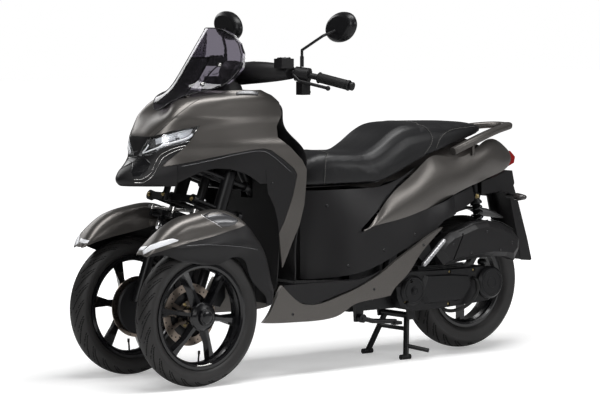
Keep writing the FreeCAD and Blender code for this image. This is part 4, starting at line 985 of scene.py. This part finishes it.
for side, word in ((1, "left"), (-1, "right")):
    reflector(side, "reflector_" + word)
    strip = [behind_lens(x, z, side, 0.009)[0]
             for x, z in ((-30, 882), (0, 866), (34, 856), (68, 845), (88, 830))]
    build("running_light_" + word, [bead(smooth_line(strip, 6), 0.0050, 8)], WHITE_LAMP,
          "chassis")
    cells = [lathe([(0.011, -0.014), (0.012, -0.008), (0.009, -0.004), (0.004, -0.002)],
                   *behind_lens(x, z, side, 0.004), sides=20) for x, z in ((14, 880), (50, 871))]
    build("projectors_" + word, cells, REFLECTOR, "chassis")
print("lamps lit")

# %% [markdown]
# ## Front guards
# Each painted roof carries two marks: a white reflector along its tip, and a paler panel with a
# bright edge near the rear. A fine crest runs along the black skirt below, and its bead is painted
# grey as a painted highlight. On the real guard they are stickers and moulded steps. Thin plates
# and beads laid on the panels show them from any side.

# %% Reflectors, inserts and crests of the front guards
white_edge = patch("fender_left", [(142.5, 251.5), (150, 245.5), (160, 241.5), (172, 238.5),
                                   (178.5, 240)],
                   [(143.5, 254.5), (152, 250), (161, 247), (170, 244), (178, 241)], steps=20)
both_sides("guard_reflector", [white_edge], WHITE_LAMP, "fork_left")
insert = patch("fender_left", [(203, 215.5), (210, 212), (217, 210.8), (229, 215.2),
                               (237.5, 219.4)],
               [(222, 226.5), (226, 226.8), (230, 226.4), (235, 224.4), (238, 221.4)], steps=20)
both_sides("guard_insert", [insert], GREY_INSERT_AND_HIGHLIGHT, "fork_left")
rim = seam_line("fender_left", [(201, 214.8), (206, 218), (213, 221.8), (221.5, 227.4)], 0.0012)
both_sides("guard_insert_edge", [rim], CHROME, "fork_left")
# The crest bead is grey on the black skirt: a painted highlight along the moulded crest.
crest = seam_line("fender_skirt_left", [(186, 246), (199, 245), (212, 244.8), (240, 246.8),
                                        (258, 249.6)], 0.0012, steps=10)
both_sides("guard_crest_highlight", [crest], GREY_INSERT_AND_HIGHLIGHT, "fork_left")
inner_tip = patch("fender_right", [(80.5, 238), (84, 239.4), (89.5, 240.6)],
                  [(79, 242), (82.5, 243.2), (87.5, 243.4)], steps=16)
both_sides("guard_inner_reflector", [other_side(inner_tip)], WHITE_LAMP, "fork_left")
print("guards dressed")

# %% [markdown]
# ## Nose
# Between the lamps the nose is gloss black, with slats above and two bright lines of piping that
# run down to the chin. They could be cut into the solid, but lines this fine cost the solid many
# faces. As beads on the panel they cost little and can cross from one solid to the next.

# %% Piping, gloss and slats
NOSE_LINES = [[(186, 145.5), (172, 149), (160, 155.5), (154, 166), (150, 174), (142, 179),
               (134, 179.5)],
              [(183, 148.5), (173, 152), (163, 158), (157.5, 167), (152, 176.5), (143, 182.5),
               (134, 182.5)]]
lines = [seam_line("nose_face+side_cowls+front_cowl", pixels, 0.0014, lift=0.0002)
         for pixels in NOSE_LINES]
both_sides("nose_piping", lines, STEEL, "chassis")
gloss = patch("nose_face", [(131, 158), (131, 163), (131.5, 170), (133, 177)],
              [(146, 158.5), (151, 163), (147.5, 170), (140.5, 177)], 0.0009, 24, 10)
both_sides("nose_gloss", [gloss], SMOOTH_BLACK, "chassis")
slats = [seam_line("nose_face", [(131, y + 0.6), (135, y), (end, y - 1.2)], 0.0016)
         for y, end in ((152, 138), (157, 139), (162, 142), (167, 144), (172, 144))]
both_sides("nose_slats", slats, SMOOTH_BLACK, "chassis")
print("nose dressed")

# %% [markdown]
# The cowls meet in a gap, and the dark bead in it is painted shade. A dark bead of painted shade
# also lines the gap above the lamp, a white light strip runs below, and a pale bead along the wheel
# arch is a painted highlight on its chamfer.

# %% Cowl gap shade, lamp strip, lamp gap shade and arch highlight
# The dark bead in the cowls' gap is painted shade.
gap = seam_line("front_cowl+side_cowls", [(153.5, 136.5), (165, 126.5), (178, 114.5), (190, 105),
                                          (199, 99.5)], 0.0011, lift=-0.0002)
both_sides("cowl_gap_shade", [gap], SOFT_RUBBER_AND_SHADE, "chassis")
strip = seam_line("headlights+nose_face", [(148.5, 145), (146, 149), (143, 153), (150, 150.6),
                                           (157, 148), (165, 145), (176, 141.8), (187, 138.2)],
                  0.0026, lift=0.0004)
both_sides("lamp_strip", [strip], WHITE_LAMP, "chassis")
# The dark bead along the lamp's upper edge is painted shade in the gap above the lens.
rim = seam_line("headlights+front_cowl+side_cowls", [(150.5, 138.6), (160, 135), (172, 131.8),
                                                     (186, 129.6), (197.5, 128)], 0.0012)
both_sides("lamp_gap_shade", [rim], SOFT_RUBBER_AND_SHADE, "chassis")
# The grey bead along the arch's upper edge is a painted highlight on the panel's chamfer.
edge = seam_line("arch_panels", [(181, 166.8), (210, 160.8), (240, 153.8), (262, 151.2),
                                 (274, 157), (291, 172)], 0.0014, steps=10)
both_sides("arch_edge_highlight", [edge], GREY_INSERT_AND_HIGHLIGHT, "chassis")
print("nose lines drawn")

# %% [markdown]
# ## Screen
# The screen is held by two rubber-ringed screws on each side, with a black bracket between them on
# its inside. A dark visor plate shows through its lower front. Rings, screws and visor are placed
# by pixel on the screen's skin, each lifted or sunk by its own thickness.

# %% Screen screws, brackets and visor
holders, rings = [], []
for px, py in ((202.4, 84.0), (219.6, 64.8)):
    place, normal = seen("windscreen", px, py)
    rings.append(lathe([(0.0085, 0.0), (0.0085, 0.0016), (0.006, 0.0024)], place, normal, 20))
    holders.append(screw(place + normal * 0.0018, normal, 0.0048, 0.0032))
ends = [seen("windscreen", px, py) for px, py in ((197, 87), (203, 81), (214, 68.5), (224, 62))]
bracket = smooth_line([place - normal * 0.008 for place, normal in ends], 5)
visor = patch("windscreen", [(191, 57), (186, 66), (179.5, 77), (173, 88), (161, 96.5),
                             (156, 103.5)],
              [(210, 57), (205, 68), (198, 80), (186, 92.5), (171, 99.5), (162, 104.5)],
              steps=24, rows=8, lift=-0.0066)
both_sides("screen_visor", [visor], SMOOTH_BLACK, "chassis")
both_sides("screen_rings", rings, SOFT_RUBBER_AND_SHADE, "chassis")
both_sides("screen_screws", holders, STEEL, "chassis")
both_sides("screen_brackets", [bead(bracket, 0.0035, 8, flat=0.5)], PLASTIC, "chassis")
print("screen fixed")

# %% [markdown]
# A dark bead follows the screen's rim, as a cut edge looks darker than the face. Its outline is
# seen from the front, so its rays come from there. The grey lens on each shoulder is a marker.

# %% Screen's edge and shoulder lenses
EDGE = [(0, 962), (22, 966), (48, 986), (78, 1012), (110, 1032), (124, 1054), (127, 1110),
        (118, 1160), (106, 1195), (86, 1226), (58, 1245), (25, 1252)]
EDGE_STEPS = 160
loop = EDGE + [(-y, z) for y, z in EDGE[:0:-1]] + EDGE[:1]
line = []
for k in range(EDGE_STEPS + 1):
    y, z = row_place(loop, k / EDGE_STEPS)
    inwards = 1.6 if z < 1100 else -1.6
    place, normal = on_skin("windscreen", at(400, y * 0.982, z + inwards), (-1, 0, 0))
    line.append(place - normal * 0.0005)
build("screen_edge", [bead(line, 0.0021, 8)], SMOOTH_BLACK, "chassis")
lens = patch("side_cowls", [(236, 93), (244, 90.9), (252, 91.4), (258, 93)],
             [(236, 95), (244, 94.6), (252, 94.8), (258, 95.2)], 0.0045, 20, 6)
both_sides("shoulder_lamp", [lens], GREY_INSERT_AND_HIGHLIGHT, "chassis")
print("screen's edge has", len(line), "places")

# %% [markdown]
# ## Wheels
# Each front wheel gets its hub cap, a ring round the hub, a valve, and a clip-on balance weight on
# the rim. These small parts tell the eye how large the wheel is. Each is turned or bent once, on
# the left, and mirrored.

# %% Hub caps, valves and weights
def on_circle(radius, degrees, y, centre=(0, AXLE_Z)):
    """A point on an upright circle beside the machine's middle plane."""
    t = math.radians(degrees)
    return at(centre[0] + radius * math.cos(t), y, centre[1] + radius * math.sin(t))


def arc(radius, y, first, last, count, centre=(0, AXLE_Z)):
    return [on_circle(radius, first + (last - first) * k / count, y, centre)
            for k in range(count + 1)]


hub_cap = lathe([(0.0285, -0.0005), (0.0285, 0.0030), (0.0265, 0.0045), (0.0225, 0.0045),
                 (0.0215, 0.0035), (0.0205, 0.0045), (0.0040, 0.0050)], at(0, 262, AXLE_Z),
                (0, 1, 0), 40)
both_sides("hub_cap", [hub_cap], SMOOTH_BLACK, "wheel_left")
valve = [bead([at(0, 212, 84), at(0, 214, 104), at(0, 216, 118)], 0.0034, 10),
         bead([at(0, 216, 116), at(0, 217, 128)], 0.0046, 10)]
both_sides("valve", valve, SOFT_RUBBER_AND_SHADE, "wheel_left")
weight = bead(arc(172.0, 236.5, 257, 278, 14), 0.0036, 8)
both_sides("balance_weight", [weight], STEEL, "wheel_left")
hub_ring = lathe([(0.047, 0.0), (0.050, 0.001), (0.050, 0.003), (0.047, 0.004)],
                 at(0, 243, AXLE_Z), (0, 1, 0), 48)
both_sides("hub_ring", [hub_ring], GLOSS, "wheel_left")
print("front wheels finished")

# %% [markdown]
# A brake disc is drilled so that it sheds water and heat. Real holes would be thousands of faces
# in the solid. A dark dot a fifth of a millimetre proud is painted shade for each hole, and reads
# as a hole at any distance where the whole wheel shows.

# %% Disc drillings as painted shade, and screws
# Dark dots on both faces of the disc: painted shade where the holes are.
def drilling_shades(y, outward):
    dots = []
    for k in range(12):
        for j, radius in enumerate((88, 96, 104)):
            dots.append(lathe([(0.0030, -0.0002), (0.0030, 0.0002)],
                              on_circle(radius, 30 * k + 9 * j, y), (0, outward, 0), 10))
    return dots


both_sides("disc_hole_shade", drilling_shades(162.05, 1) + drilling_shades(157.95, -1), SOFT_RUBBER_AND_SHADE,
           "wheel_left")
disc_screws = [screw(on_circle(42, 60 * k, 162), (0, 1, 0), 0.005, 0.004) for k in range(6)]
both_sides("disc_screws", disc_screws, ZINC, "wheel_left")
print("discs drilled")

# %% [markdown]
# ## Front suspension
# Behind each wheel two telescopic legs work side by side. Their upper tubes are polished, and a
# rubber wiper sits where each tube enters its leg. The arms turn on pins with yellow nuts. All of
# them are placed by `fork`, which measures along the leaning steering axis.

# %% Fork tubes, wipers and linkage nuts
UP_THE_LEG = fork(0, 130, 300) - fork(0, 130, 266)
FORWARD = (fork(100, 0, 0) - fork(0, 0, 0)).normalized()
tubes, wipers = [], []
for a in (52, -14):
    tubes.append(lathe([(0.0135, 0.0), (0.0135, 0.060)], fork(a, 130, 266), UP_THE_LEG, 24))
    wipers.append(lathe([(0.0185, 0.0), (0.0198, 0.002), (0.0198, 0.010), (0.016, 0.014)],
                        fork(a, 130, 254), UP_THE_LEG, 24))
both_sides("fork_tubes", tubes, CHROME, "fork_left")
both_sides("fork_wipers", wipers, SOFT_RUBBER_AND_SHADE, "fork_left")
for word, body, places in (("upper", "upper_arm", ((130, -130, 494), (130, 130, 494))),
                           ("lower", "lower_arm", ((130, -130, 384), (130, 130, 384))),
                           ("centre", "chassis", ((162, 0, 494), (162, 0, 384)))):
    nuts = [part for place in places for part in nut(fork(*place), FORWARD, 0.0065, 0.005)]
    build(word + "_pin_nuts", nuts, ZINC, body)
print("front suspension finished")

# %% [markdown]
# ## Handlebar
# The grips are ribbed rubber sleeves with weights at the bar's ends, which calm the bar's shake.
# The ribs could be a bump in the material, but a grip is seen in outline, so they are turned.

# %% Grips and weights
GRIP_START, GRIP_END, RIBS = at(-489, 270, 1075), at(-548, 375, 1047), 22
GRIP = (GRIP_END - GRIP_START).normalized()
grip_length = (GRIP_END - GRIP_START).length
sleeve = [(0.0168, 0.002), (0.0205, 0.003), (0.0205, 0.007)]
for k in range(RIBS):
    along = 0.009 + k * (grip_length - 0.018) / RIBS
    sleeve += [(0.0172, along), (0.0181, along + 0.0012), (0.0181, along + 0.0034)]
sleeve += [(0.0195, grip_length - 0.006), (0.0195, grip_length - 0.001), (0.0168, grip_length)]
both_sides("grip", [lathe(sleeve, GRIP_START, GRIP, 28)], SOFT_RUBBER_AND_SHADE, "steering")
weights = lathe([(0.012, -0.001), (0.0155, 0.001), (0.0155, 0.014), (0.013, 0.0165),
                 (0.004, 0.0165), (0.004, 0.014)], GRIP_END, GRIP, 24)
both_sides("bar_weight", [weights], SATIN, "steering")
print("grips", round(grip_length * 1000), "mm long")

# %% [markdown]
# The brake reservoir has a screwed cap, each switch block three rockers, and the display is a dark
# glass let into the cover. The rider looks down at it, so its rays start at the rider's eyes.

# %% Reservoir caps, rockers and display
cap = [ovals([(at(-387.5, 202.5, z), (1, 0, 0), (0, 1, 0), r, r * 0.86)
              for z, r in ((1141.5, 0.026), (1144.5, 0.026), (1146, 0.024))], 32)]
for x, y in ((-402, 190), (-402, 215), (-373, 202)):
    cap.append(screw(at(x, y, 1145.8), (0, 0, 1), 0.0024, 0.0016))
both_sides("reservoir_cap", cap, SMOOTH_BLACK, "steering", smooth=False)
rockers = []
for y, z in ((213, 1050), (222, 1036), (231, 1022)):
    rockers.append(ovals([(at(x, y, z), (0, 1, 0), (0, 0, 1), ry, 0.0048)
                          for x, ry in ((-477, 0.0075), (-481, 0.0075), (-482.5, 0.0062))], 16))
both_sides("rockers", rockers, SOFT_RUBBER_AND_SHADE, "steering")


def rider_sees(node, x, y):
    return on_skin(node, at(x - 160, y, 1480), at(x, y, 1100) - at(x - 160, y, 1480))


glass = patch("handlebar", [(-352, y) for y in (-58, -30, 0, 30, 58)],
              [(-386, y) for y in (-52, -28, 0, 28, 52)], 0.0012, shoot=rider_sees)
build("display", [glass], GLOSS, "steering")
frame_line = seam_line("handlebar", [(-351, -60), (-351, 0), (-351, 60), (-370, 60), (-388, 54),
                                     (-388, 0), (-388, -54), (-370, -60), (-351, -60)], 0.0016,
                       shoot=rider_sees)
build("display_frame", [frame_line], STEEL, "steering")
print("handlebar finished")

# %% [markdown]
# ## Mirrors
# The glass is a thin oval plate a little inside the rim of each housing, facing back, with a soft
# rim round it. A mirror is the one place where a plain bright metal is the whole finish.

# %% Mirror glass
MIRROR_U, MIRROR_V = Vector((0, 1, 0.25)).normalized(), Vector((0, -0.25, 1)).normalized()
glass = ovals([(at(x, 335, 1254), MIRROR_U, MIRROR_V, ru, rv)
               for x, ru, rv in ((-551.6, 0.069, 0.0435), (-553.0, 0.069, 0.0435),
                                 (-553.4, 0.068, 0.0425))], 48)
both_sides("mirror_glass", [glass], MIRROR, "steering", smooth=False)
ring = oval(at(-552.4, 335, 1254), MIRROR_U, MIRROR_V, 0.0715, 0.0458, 48)
both_sides("mirror_rim", [bead(ring + ring[:1], 0.0022, 8)], SOFT_RUBBER_AND_SHADE, "steering")
print("mirrors finished")

# %% [markdown]
# ## Rear suspension
# Each damper is a black body with a bright rod inside a coil spring. Stacked rings would look like
# a spring from afar, but a spring is one round wire, so it is wound as one between two collars.

# %% Dampers and springs
COIL_TURNS, COIL_STEPS, COIL_RADIUS = 8, 24, 0.0205


def damper(side):
    """The body parts, the coil and the nut of the damper on one side."""
    top, foot = at(-1400, side * 96, 600), at(-1436, side * 96, 343.6)
    down = (foot - top).normalized()
    long = (foot - top).length
    body = [lathe([(0.013, -0.013), (0.014, 0.010), (0.024, 0.022), (0.024, 0.028),
                   (0.0155, 0.030), (0.0155, 0.150), (0.0095, 0.152), (0.0095, long - 0.020)],
                  top, down, 28),
            lathe([(0.010, long - 0.068), (0.0245, long - 0.066), (0.0245, long - 0.060),
                   (0.010, long - 0.058)], top, down, 28),
            lathe([(0.016, -0.012), (0.016, 0.012)], top, (0, 1, 0), 24),
            lathe([(0.0135, -0.012), (0.0135, 0.012)], foot, (0, 1, 0), 24)]
    across = down.cross(Vector((0, 1, 0))).normalized()
    first, last = 0.0315, long - 0.0695
    coil = []
    for k in range(COIL_TURNS * COIL_STEPS + 1):
        t = 2 * math.pi * k / COIL_STEPS
        share = k / (COIL_TURNS * COIL_STEPS)
        coil.append(top + down * (first + (last - first) * share)
                    + across * (COIL_RADIUS * math.cos(t))
                    + down.cross(across) * (COIL_RADIUS * math.sin(t)))
    end = nut(top + Vector((0, side * 0.012, 0)), (0, side, 0), 0.0075, 0.005)
    return body, bead(coil, 0.0035, 8), end


(body, coil, end), (other_body, other_coil, other_end) = damper(1), damper(-1)
dampers = build("damper_bodies", body + other_body, SATIN, "chassis")
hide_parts("rear_shocks")
build("damper_springs", [coil, other_coil], SMOOTH_BLACK, "chassis")
build("damper_nuts", end + other_end, ZINC, "chassis")
print("dampers finished")

# %% [markdown]
# ## Belt case and filter box
# The belt case on the left is held by screws in round recesses, and round bosses mark its two
# pulleys. The filter box has its own lid screws and two fins along its top. The bosses' rings are
# beads bent into circles, which catch the light as a cast step does.

# %% Case screws, fins and rings
case_screws = []
for x, z in ((-1030, 300), (-1231, 322), (-1226, 200), (-1010, 222), (-1352, 322)):
    place, normal = from_left("cvt_cover", x, z)
    case_screws.append(screw(place, (0, 1, 0), 0.0045, 0.005))
build("case_screws", case_screws, ZINC, "chassis")
LID_PLACES = ((-1210, 430), (-1380, 472), (-1510, 420), (-1300, 395), (-1450, 396))
lid_screws = screws_on([("air_cleaner", x, z) for x, z in LID_PLACES], 0.004, 0.003)
build("lid_screws", lid_screws, SMOOTH_BLACK, "chassis")
fins = [bead([at(x, 172, z) for x, z in line], 0.0016, 6)
        for line in (((-1250, 482.5), (-1330, 508), (-1398, 513)),
                     ((-1410, 512.5), (-1468, 501), (-1526, 472)))]
build("lid_fins", fins, SMOOTH_BLACK, "chassis")
rings = [bead(arc(radius, y, 0, 360, 48, centre), 0.0014, 6)
         for radius, y, centre in ((20, 160.2, (-1430, 270)), (46, 160.2, (-1430, 270)),
                                   (16, 154.2, (-1045, 262)), (42, 154.2, (-1045, 262)))]
build("case_rings", rings, CAST_BLACK, "chassis")
print("case finished")

# %% [markdown]
# An oil plug sits in the middle of the front boss. The breather hose is a short moulded hose that
# is fixed at both ends, so it keeps its bends and doesn't hang.

# %% Oil plug and breather hose
plug = lathe([(0.013, -0.001), (0.013, 0.003), (0.009, 0.0035), (0.009, 0.006), (0.008, 0.007)],
             at(-1045, 154, 262), (0, 1, 0), 6)
build("oil_plug", [plug], CAST_BLACK, "chassis", smooth=False)
hose = smooth_line([at(-1348, 138, 292), at(-1350, 158, 286), at(-1352, 167, 262),
                    at(-1345, 167, 232), at(-1318, 160, 199), at(-1284, 146, 178),
                    at(-1250, 126, 170), at(-1228, 112, 177), at(-1222, 108, 192)], 8)
build("breather_hose", [bead(hose, 0.0068, 14)], SOFT_RUBBER_AND_SHADE, "chassis")
print("hose and plug set")

# %% [markdown]
# ## Passenger pegs and inner tail panels
# A folded foot peg lies behind each sill, on a plate that is bolted to the sill's inner face. It
# is small and could be left out, but its bright alloy is the only light spot in that dark corner.
# Two plain black panels close the tail's underside, where light would shine through.

# %% Folded pegs
def slab(outline, y0, y1):
    """A flat plate with an outline of x and z, between two widths."""
    count = len(outline)
    points = [at(x, y, z) for y in (y0, y1) for x, z in outline]
    faces = [list(range(count)), list(range(count, 2 * count))[::-1]]
    for k in range(count):
        m = (k + 1) % count
        faces.append([k, k + count, m + count, m])
    return points, faces


PEG_RIBS = 9
peg_foot, peg_tip = at(-1040, 207, 362), at(-1147, 207, 454)
along = peg_tip - peg_foot
ahead = along.normalized()
across = ahead.cross(Vector((0, 1, 0)))
peg = [ovals([(peg_foot + along * t, (0, 1, 0), across, 0.012 * r, 0.0085 * r)
              for t, r in ((0.0, 0.5), (0.02, 0.9), (0.06, 1.0), (0.50, 1.0), (0.94, 1.0),
                           (0.98, 0.9), (1.0, 0.5))], 20)]
for k in range(PEG_RIBS):
    middle = peg_foot + along * (0.14 + 0.09 * k)
    peg.append(ovals([(middle + ahead * s, (0, 1, 0), across, 0.0128, 0.0093)
                      for s in (-0.002, 0.002)], 20))
both_sides("folded_peg", peg, ALLOY, "chassis")
print("pegs have", PEG_RIBS, "ribs")

# %% Peg plates and inner tail panels
plate = slab([(-1020, 402), (-1052, 372), (-1070, 376), (-1092, 412), (-1076, 446), (-1058, 436)],
             191, 197.6)
both_sides("peg_plate", [plate], SATIN, "chassis", smooth=False)
tail_panel = slab([(-1120, 540), (-1240, 560), (-1352, 600), (-1352, 652), (-1240, 660),
                   (-1120, 650)], 118, 121)
both_sides("tail_panel", [tail_panel], PLASTIC, "chassis", smooth=False)
print("plates and panels set")

# %% [markdown]
# ## Exhaust
# A slotted shield keeps the passenger's leg off the silencer. It stands a few millimetres out from
# the can, on screws, so it is a patch with a large lift. Its slots are dark beads of painted shade,
# for they are too narrow to see into. The outlet is a short turned pipe.

# %% Silencer shield and outlet
SHIELD_LIFT, SLOTS = 0.006, 6
OUTLET_AIM = Vector((-0.979, -0.065, 0.196))
shield = patch("muffler", [(-1235, 352), (-1300, 372), (-1400, 392), (-1500, 410)],
               [(-1235, 300), (-1300, 306), (-1400, 324), (-1500, 348)], SHIELD_LIFT, 24, 6,
               shoot=from_right)
build("heat_shield", [shield], SATIN, "chassis")
shield_screws = screws_on([("muffler", -1255, 322), ("muffler", -1480, 378)], 0.005, 0.003,
                          from_right, SHIELD_LIFT)
build("shield_screws", shield_screws, STEEL, "chassis")
# Each slot is a dark bead on the shield, painted shade for the narrow opening.
slots = []
for k in range(SLOTS):
    x, z = -1300 - 26 * k, 326 + k * 3.6
    slots.append(seam_line("muffler", [(x, z), (x - 8, z + 14), (x - 12, z + 30)], 0.0028,
                           lift=0.0052, shoot=from_right))
build("shield_slot_shade", slots, SOFT_RUBBER_AND_SHADE, "chassis")
outlet = lathe([(0.036, -0.004), (0.036, 0.002), (0.030, 0.005), (0.018, 0.005), (0.018, 0.016),
                (0.0155, 0.016), (0.0155, 0.001)], at(-1590, -188, 392), OUTLET_AIM, 32)
build("silencer_outlet", [outlet], SATIN, "chassis")
print("exhaust finished")

# %% [markdown]
# ## Tail
# The rear indicators have smoked lenses on black bodies, rounded like a pebble, so they are drawn
# through four ovals. The plate's place stays empty, with three stiffening ribs behind it, and two
# bars cross the red lamp.

# %% Indicators, ribs and lamp bars
lens = ovals([(at(x, y, 592), (1, 0, 0), (0, 0, 1), ru, rv)
              for x, y, ru, rv in ((-1568.5, 150.5, 0.0206, 0.0156), (-1571.5, 165, 0.0176, 0.0132),
                                   (-1575, 184, 0.0126, 0.0096), (-1575.2, 187, 0.0100, 0.0076))],
             32)
both_sides("rear_indicator", [lens], SMOKED_LENS, "chassis")


def cross_bars(node, heights, radius):
    return [seam_line(node, [(y, z) for y in (-50, -25, 0, 25, 50)], radius, steps=4,
                      shoot=from_behind) for z in heights]


build("holder_ribs", cross_bars("rear_fender", (372, 446, 520), 0.0022), PLASTIC, "chassis")
build("lamp_bars", cross_bars("tail_lamp", (724, 742), 0.0014), RED_LENS, "chassis")
print("tail finished")

# %% [markdown]
# ## Deck, shield and flanks
# Rubber ribs on the footboard give grip, the leg shield carries a lock and a glove-box lid, and
# small screws hold the flanks. The lid is only its gap: a dark bead of painted shade round it reads
# as a lid, and the shield's solid stays whole.

# %% Mat ribs, glove box and lock
mat = []
for y, x in ((70, -530), (90, -536), (110, -560), (130, -590), (150, -625), (168, -655)):
    mat.append(seam_line("floorboard", [(-470, y), ((x - 470) / 2, y), (x, y)], 0.0018, steps=5,
                         shoot=from_above))
both_sides("mat_ribs", mat, SOFT_RUBBER_AND_SHADE, "chassis")
# The dark bead round the lid is painted shade in its gap.
lid = seam_line("leg_shield", [(-100, 800), (-104, 730), (-100, 672), (-40, 664), (40, 664),
                               (100, 672), (104, 730), (100, 800), (40, 806), (-40, 806),
                               (-100, 800)], 0.0016, steps=5, shoot=from_behind)
build("glove_box_gap_shade", [lid], SOFT_RUBBER_AND_SHADE, "chassis")
lock = lathe([(0.016, -0.001), (0.016, 0.004), (0.0145, 0.006), (0.009, 0.006), (0.009, 0.003)],
             *from_behind("leg_shield", 70, 850), 32)
build("ignition_lock", [lock], STEEL, "chassis")
print("deck and shield finished")

# %% Flank screws
flank = screws_on((("body_cover", -640, 600), ("body_cover", -700, 380), ("body_cover", -860, 430),
                   ("body_cover", -1010, 480), ("arch_panels", -330, 700), ("sills", -420, 225),
                   ("sills", -800, 290), ("sills", -1040, 440)), 0.0042, 0.0026)
both_sides("flank_screws", flank, SMOOTH_BLACK, "chassis")
print("flank screws", len(flank), "a side")
